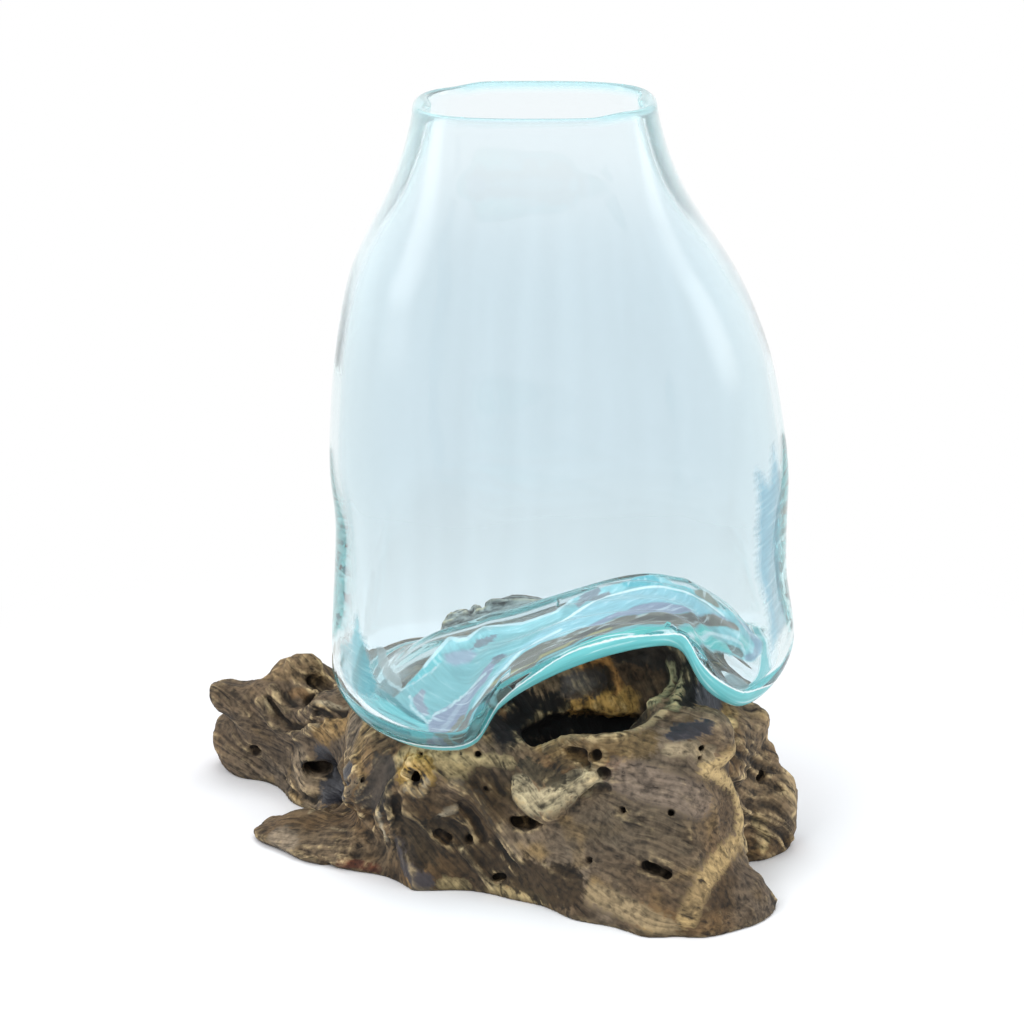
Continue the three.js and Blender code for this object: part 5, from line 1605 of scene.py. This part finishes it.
class Root:
    """The root: one piece of weathered wood."""

    def __init__(self, shape: RootShape, vase: VaseShape, finish: WoodFinish) -> None:
        """Stores the sizes, the vase that it carries, and the finish."""
        self.shape = shape
        self.vase = vase
        self.finish = finish
        self.noise = Noise(SEED + 4)
        self.body = WoodField(shape, vase)

    def flows(self, p: np.ndarray) -> tuple[np.ndarray, list[np.ndarray]]:
        """How the grain runs at points.

        Args:
            p: Points in mm.

        Returns:
            The share of each run of the grain, and the points as each run sees them, in mm along its fibres,
            across them and through them.
        """
        f = self.finish
        warp = np.stack([self.noise.layers(p / f.warp_size + 5.3 * k, 2) for k in range(3)], 1)
        away, seen = [], []
        for grain in GRAINS:
            middle = p + f.run_warp * warp - np.array(grain.centre)
            away.append((np.linalg.norm(middle, axis=1) / grain.spread) ** 2)
            along = np.array(grain.along) / np.linalg.norm(grain.along)
            across = np.cross(along, (0.13, 0.3, 0.94))
            across /= np.linalg.norm(across)
            seen.append((p + f.fibre_warp * warp) @ np.stack([along, across, np.cross(along, across)], 1))
        away = np.array(away)
        shares = np.exp(-3 * (away - away.min(0)))
        return shares / shares.sum(0), seen

    def relief(self, shares: np.ndarray, seen: list[np.ndarray]) -> np.ndarray:
        """Height of the coarse grain at points of the surface, from about -1 to 1."""
        f, total = self.finish, np.zeros(len(seen[0]))
        high, middle, low = f.strand_heights
        for k, (grain, share, q) in enumerate(zip(GRAINS, shares, seen)):
            wide, strand, fine = (
                self.noise(q / np.array(size) + offset * k) for size, offset in zip(f.strand_sizes, (31, 11, 7))
            )
            wide, strand = (1 - f.strand_sharpness * np.abs(noise) for noise in (wide, strand))
            total += share * grain.height * (high * wide + middle * strand + low * fine - f.strand_level)
        return total

    def tints(self, p: np.ndarray) -> np.ndarray:
        """Linear RGB of the wide patches at points of the surface, with the painted shade of the cavity under the
        knob.
        """
        n, f = self.noise, self.finish
        slow, patch, ragged = (n.layers(p / size + k, 3) for size, k in zip(f.patch_sizes, (2.2, 8.8, 4.4)))
        mix = smooth(0.5 + 1.1 * slow)[:, None]
        colour = linear(f.brown) * (1 - mix) + linear(f.grey) * mix
        colour = colour + (linear(f.dark) - colour) * (f.dark_share * smooth(patch * 1.9 - 0.05))[:, None]
        colour = colour + (linear(f.ochre) - colour) * (f.ochre_share * smooth(-patch * 2.2 - 0.3))[:, None]
        for stain in STAINS:
            if stain.crisp:
                continue
            near, away = self.near(stain, p, 1.6 * stain.radius)
            share = 1 - (away + 0.45 * stain.radius * ragged[near]) / stain.radius
            share = stain.strength * smooth(share * (1.2 if stain.radius > 12 else 3.0))
            tone = linear(stain.colour) * (1 + 0.35 * patch[near])[:, None]
            colour[near] += (tone - colour[near]) * share[:, None]
        return np.clip(colour, 0.003, 1)

    def near(self, stain: Stain, p: np.ndarray, reach: float) -> tuple[np.ndarray, np.ndarray]:
        """Numbers of the points in a box round a stain, and their distances to its line in mm."""
        q = np.array(stain.points, float).reshape(-1, 3)
        q = self.body.settle(self.body.dense(q))[0] if stain.crisp else q
        near = np.flatnonzero((p > q.min(0) - reach).all(1) & (p < q.max(0) + reach).all(1))
        ends = q[1:] if len(q) > 1 else q
        return near, np.min([Limb(a, b, 0, 0).field(p[near]) for a, b in zip(q, ends)], 0)

    def build(self) -> bpy.types.Object:
        """Makes the root's mesh, raises its grain, colours it and gives it its wood.

        Returns:
            The object.
        """
        s, f = self.shape, self.finish
        self.body.fill()
        points, quads = self.body.skin()
        p = self.even(points, quads, 1, s.even_share)
        ceiling = self.vase.ceiling(p[:, 0], p[:, 1])
        polish = np.zeros(len(p))
        for stain in STAINS:
            near, away = self.near(stain, p, stain.radius)
            share = smooth(1.5 - away / stain.radius)
            polish[near] += (stain.polish - polish[near]) * share
        free = s.below_glass(ceiling - p[:, 2]) * s.above_floor(p[:, 2]) * (1 - s.polish_calm * polish)
        shares, seen = self.flows(p)
        height = self.relief(shares, seen)
        knots = self.noise.layers(p / f.knot_size + 1.7, 3)
        obj = new_object("driftwood_root", p, quads)
        set_attribute(obj, "coarse", height + f.knot_height * knots)
        set_attribute(obj, "free", free)
        GrainRelief(f.coarse_height, f.grit_height, f.grit_size).apply(obj, self.material())
        moved = np.empty(len(p) * 3, np.float32)
        obj.data.vertices.foreach_get("co", moved)
        moved = moved.reshape(-1, 3).astype(float) / MM
        ceiling = self.vase.ceiling(moved[:, 0], moved[:, 1]) - s.seat_gap
        moved[:, 2] = np.minimum(moved[:, 2], np.maximum(ceiling, 0))
        low, high = (np.array(v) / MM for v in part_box("root_base"))
        moved = np.clip(moved, low, high)
        obj.data.vertices.foreach_set("co", (moved * MM).astype(np.float32).ravel())
        obj.data.update()
        self.paint(obj, moved, quads, shares, seen, height)
        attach(obj, "root")
        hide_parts("root_base")
        LOG.info("root: %d quads", len(quads))
        return obj

    def paint(
        self,
        obj: bpy.types.Object,
        p: np.ndarray,
        quads: np.ndarray,
        shares: np.ndarray,
        seen: list[np.ndarray],
        height: np.ndarray,
    ) -> None:
        """Stores the colours, the wear, the painted shade, the stains and the run of the fibres on the mesh.

        Args:
            obj: The root.
            p: Its points, in mm.
            quads: Its faces.
            shares: Share of each run of the grain at each point.
            seen: The points as each run sees them.
            height: Height of the grain at each point.
        """
        f = self.finish
        normal = self.normals(p, quads)
        bulges = [((p - self.even(p, quads, rounds, 0.8)) * normal).sum(1) for rounds in (2, 14)]
        bulge = f.sharp_share * (bulges[0] / f.sharp_height) + f.broad_share * (bulges[1] / f.broad_height)
        colour = self.tints(p)
        bright = colour @ np.array([0.21, 0.72, 0.07])
        worn = smooth(bulge - f.worn_above) * np.clip(bright / 0.05, 0, 1)
        # Painted shade: darker in the hollows and near the floor, lighter on the raised grain and darker in its dips.
        shade = 1 - f.hollow_shade * smooth(-bulge - f.hollow_below)
        shade *= 1 + 0.45 * np.clip(height + 0.1, -1, 1)
        shade *= 1 - f.floor_shade * smooth(1 - p[:, 2] / f.floor_reach)
        set_attribute(obj, "wood_tint", colour)
        strength = (shares * np.array([[grain.height] for grain in GRAINS])).sum(0)
        set_attribute(obj, "wear_and_painted_shade", np.stack([worn, shade, strength], 1))
        for k, stain in enumerate(STAINS):
            if stain.crisp:
                far = np.full(len(p), FAR)
                near, away = self.near(stain, p, 2.5 * stain.radius + 4)
                far[near] = away - stain.radius
                set_attribute(obj, f"stain_{k:02d}", far)
        step = np.array([f.fibre_length, f.fibre_width, f.fibre_width])
        for layer in range(LAYERS):
            mine = [k for k, grain in enumerate(GRAINS) if grain.layer == layer]
            best = np.argmax(shares[mine], 0)
            flow = np.zeros_like(p)
            for order, k in enumerate(mine):
                flow[best == order] = (seen[k] / step + 13 * k)[best == order]
            set_attribute(obj, f"flow_{layer}", flow)
            set_attribute(obj, f"share_{layer}", shares[mine].sum(0))

    def even(self, points: np.ndarray, quads: np.ndarray, rounds: int, share: float) -> np.ndarray:
        """Points drawn towards the mean of their neighbours."""
        a = quads.ravel()
        b = np.roll(quads, -1, 1).ravel()
        count = np.bincount(a, minlength=len(points)) + np.bincount(b, minlength=len(points))
        p = points
        for _ in range(rounds):
            sums = [np.bincount(a, p[b, k], len(p)) + np.bincount(b, p[a, k], len(p)) for k in range(3)]
            p = p + (np.stack(sums, 1) / count[:, None] - p) * share
        return p

    def normals(self, points: np.ndarray, quads: np.ndarray) -> np.ndarray:
        """Outward normal at each point of a mesh of quads."""
        p = points[quads]
        face = np.cross(p[:, 2] - p[:, 0], p[:, 3] - p[:, 1])
        sums = [np.bincount(quads.ravel(), np.repeat(face[:, k], 4), len(points)) for k in range(3)]
        total = np.stack(sums, 1)
        return total / np.maximum(np.linalg.norm(total, axis=1, keepdims=True), 1e-9)

    def material(self) -> bpy.types.Material:
        """Weathered wood, coloured by the mesh, with stains, painted shade, worn edges and fibres that follow the
        grain.

        Returns:
            The material.
        """
        f = self.finish
        mat, nodes = new_material("weathered_wood")
        fibre = nodes.value(0.0)
        for layer in range(LAYERS):
            strand = nodes.noise(nodes.attribute(f"flow_{layer}", "Vector"), 1.0, 5.0, 0.5)
            fibre = nodes.plus(fibre, nodes.times(strand, nodes.attribute(f"share_{layer}")))
        grit = nodes.noise(nodes.add("ShaderNodeTexCoord").outputs["Object"], f.speck_scale, 6.0)
        wander = nodes.plus(nodes.times(fibre, 1.4), nodes.math("SUBTRACT", grit, 1.2))
        colour, polish = nodes.attribute("wood_tint", "Color"), nodes.value(0.0)
        for k, stain in enumerate(STAINS):
            if not stain.crisp:
                continue
            stray = min(1.5 * stain.radius, f.most_stray)
            away = nodes.plus(nodes.attribute(f"stain_{k:02d}"), nodes.times(wander, stray))
            share = nodes.span(away, 0.5, -0.5 - 0.15 * stain.radius, 0.0, stain.strength)
            colour = nodes.mix_colour(share, colour, stain.colour)
            polish = nodes.mix_value(share, polish, stain.polish)
        wear_and_painted_shade = nodes.add("ShaderNodeSeparateColor")
        nodes.give(wear_and_painted_shade.inputs["Color"], nodes.attribute("wear_and_painted_shade", "Color"))
        worn = nodes.times(wear_and_painted_shade.outputs["Red"], nodes.span(fibre, 0.38, 0.58, 0.1, f.worn_share))
        colour = nodes.mix_colour(worn, colour, f.pale)
        both = nodes.plus(fibre, nodes.times(grit, 0.7))
        strength = nodes.span(wear_and_painted_shade.outputs["Blue"], 0.0, 1.0, 0.72, 1.1)
        strength = nodes.times(strength, nodes.span(polish, 0.0, 0.5, 1.0, 0.35))
        contrast = nodes.span(both, 0.66, 1.02, f.fibre_dark - 1, f.fibre_bright - 1)
        contrast = nodes.plus(nodes.times(contrast, strength), 1.0)
        # Green is the painted shade that the mesh carries: darker in hollows and near the floor.
        colour = nodes.scale(colour, nodes.times(nodes.times(contrast, f.tone), wear_and_painted_shade.outputs["Green"]))
        crack = nodes.span(fibre, f.crack_below, f.crack_below - 0.05, 0.0, 0.85)
        colour = nodes.mix_colour(nodes.times(crack, strength), colour, f.crack)
        bump = nodes.add("ShaderNodeBump")
        for name, value in zip(("Strength", "Distance", "Height"), (f.relief, f.relief_depth * MM, both)):
            nodes.give(bump.inputs[name], value)
        wood = nodes.add("ShaderNodeBsdfPrincipled")
        nodes.give(wood.inputs["Base Color"], colour)
        nodes.give(wood.inputs["Roughness"], nodes.span(polish, 0.0, 1.0, f.dull, f.polished))
        nodes.give(wood.inputs["Normal"], bump.outputs["Normal"])
        nodes.finish(wood.outputs["BSDF"])
        return mat


@dataclass(frozen=True)
class Light:
    """A soft square light that faces the vase: where it hangs and its side, in metres, and its watts."""

    name: str
    place: Vector3
    size: float
    power: float


@dataclass(frozen=True)
class Glow:
    """A soft-edged glowing card that only shows as a gloss on the object.

    Args:
        name: Its name.
        direction: Where it stands round the object, in degrees from the right.
        height: How high it stands, in degrees.
        half: Half its height, in metres. Its width is two thirds of that.
        level: Its brightness in the middle.
    """

    name: str
    direction: float
    height: float
    half: float
    level: float


@dataclass(frozen=True)
class StageSizes:
    """The camera and the lights, in metres and watts."""

    camera: Vector3 = (0.0, -1.246, 0.518)
    tilt: float = 73.5
    lens: float = 108.98
    ambient: float = 0.62
    backdrop: float = 1.0
    floor: float = 12.0
    middle: Vector3 = (0.01, 0.0, 0.15)
    lights_face: Vector3 = (0.01, 0.0, 0.12)
    lights: tuple[Light, ...] = (
        Light("key", (-0.75, -0.95, 1.15), 0.8, 13.0),
        Light("fill", (0.95, -0.75, 0.75), 1.0, 6.0),
        Light("top", (0.0, 0.25, 1.4), 0.9, 7.0),
    )
    glow_distance: float = 1.2
    glow_steps: int = 17
    glows: tuple[Glow, ...] = (
        Glow("left_glow", 190.0, 25.0, 0.55, 4.5),
        Glow("right_glow", 3.0, 22.0, 0.45, 4.0),
    )


class Stage:
    """The pale floor, the white surroundings, the soft lights and the camera."""

    def __init__(self, sizes: StageSizes, floor: FloorFinish) -> None:
        """Stores the sizes and the floor's finish."""
        self.sizes = sizes
        self.floor = floor

    def build(self) -> None:
        """Makes the floor, the surroundings, the lights and the camera."""
        self.make_floor()
        self.make_world()
        for light in self.sizes.lights:
            self.make_light(light)
        for glow in self.sizes.glows:
            self.make_glow(glow)
        self.make_camera()
        scene = bpy.context.scene
        scene.view_settings.view_transform = "Standard"
        scene.cycles.max_bounces = 64
        scene.cycles.transmission_bounces = 48
        scene.cycles.transparent_max_bounces = 16
        scene.cycles.glossy_bounces = 48
        LOG.info("stage made")

    def make_floor(self) -> None:
        """A wide floor whose shade turns to plain white away from the object."""
        f = self.floor
        bpy.ops.mesh.primitive_plane_add(size=self.sizes.floor)
        floor = bpy.context.object
        floor.name = "floor"
        mat, nodes = new_material("pale_floor")
        shade = nodes.add("ShaderNodeBsdfDiffuse")
        nodes.give(shade.inputs["Color"], (*f.shade, 1))
        length = nodes.add("ShaderNodeVectorMath", operation="LENGTH")
        nodes.give(length.inputs[0], nodes.add("ShaderNodeTexCoord").outputs["Object"])
        far = nodes.span(length.outputs["Value"], f.inner, f.outer, 0.0, 1.0)
        far.node.interpolation_type = "SMOOTHSTEP"
        white = nodes.add("ShaderNodeEmission").outputs["Emission"]
        nodes.finish(nodes.mix_shader(far, shade.outputs["BSDF"], white))
        floor.data.materials.append(mat)

    def make_world(self) -> None:
        """White to the camera and in the glass, softer as a light."""
        world = bpy.data.worlds.new("white_room")
        bpy.context.scene.world = world
        world.use_nodes = True
        nodes = Nodes(world.node_tree)
        back = world.node_tree.nodes["Background"]
        nodes.give(back.inputs["Color"], (1, 1, 1, 1))
        rays = nodes.add("ShaderNodeLightPath").outputs
        seen = nodes.math("MAXIMUM", rays["Is Camera Ray"], rays["Is Glossy Ray"])
        seen = nodes.math("MAXIMUM", seen, rays["Is Transmission Ray"])
        level = nodes.span(seen, 0.0, 1.0, self.sizes.ambient, self.sizes.backdrop)
        nodes.give(back.inputs["Strength"], level)

    def make_light(self, light: Light) -> None:
        """A light that glass and gloss don't show."""
        data = bpy.data.lights.new(light.name, "AREA")
        data.size, data.energy = light.size, light.power
        obj = bpy.data.objects.new(light.name, data)
        obj.location = light.place
        obj.visible_glossy = obj.visible_transmission = False
        toward = Vector(self.sizes.lights_face) - Vector(light.place)
        obj.rotation_euler = toward.to_track_quat("-Z", "Y").to_euler()
        bpy.context.scene.collection.objects.link(obj)

    def make_glow(self, glow: Glow) -> None:
        """A card round the object that fades towards its edges."""
        turn, rise = np.radians(glow.direction), np.radians(glow.height)
        out = np.array([np.cos(turn) * np.cos(rise), np.sin(turn) * np.cos(rise), np.sin(rise)])
        side = np.array([-np.sin(turn), np.cos(turn), 0.0])
        up = np.cross(out, side)
        steps = self.sizes.glow_steps
        across, along = (a.ravel() for a in np.meshgrid(*[np.linspace(-1, 1, steps)] * 2))
        middle = out * self.sizes.glow_distance + np.array(self.sizes.middle)
        points = middle + glow.half * (across[:, None] * side * 2 / 3 + along[:, None] * up)
        first = (np.arange(steps - 1)[:, None] * steps + np.arange(steps - 1)).ravel()
        quads = np.stack([first, first + 1, first + steps + 1, first + steps], 1)
        card = new_object(glow.name, points / MM, quads)
        set_attribute(card, "fade", smooth(1.2 * (1 - np.abs(across))) * smooth(1.2 * (1 - np.abs(along))))
        mat, nodes = new_material(glow.name)
        shine = nodes.add("ShaderNodeEmission")
        nodes.give(shine.inputs["Strength"], nodes.span(nodes.attribute("fade"), 0, 1, 1.0, glow.level))
        nodes.finish(shine.outputs["Emission"])
        card.data.materials.append(mat)
        for ray in ("camera", "diffuse", "transmission", "volume_scatter", "shadow"):
            setattr(card, f"visible_{ray}", False)

    def make_camera(self) -> None:
        """The camera at the photograph's place and angle."""
        data = bpy.data.cameras.new("camera")
        data.lens = self.sizes.lens
        data.sensor_width = 36
        camera = bpy.data.objects.new("camera", data)
        camera.location = self.sizes.camera
        camera.rotation_euler = (np.radians(self.sizes.tilt), 0, 0)
        bpy.context.scene.collection.objects.link(camera)
        bpy.context.scene.camera = camera


def main() -> None:
    """Builds the vase, the root and the stage."""
    logging.basicConfig(level=logging.INFO)
    vase = VaseShape()
    Vase(vase, GlassFinish()).build()
    Root(RootShape(), vase, WoodFinish()).build()
    Stage(StageSizes(), FloorFinish()).build()


if __name__ == "__main__":
    main()
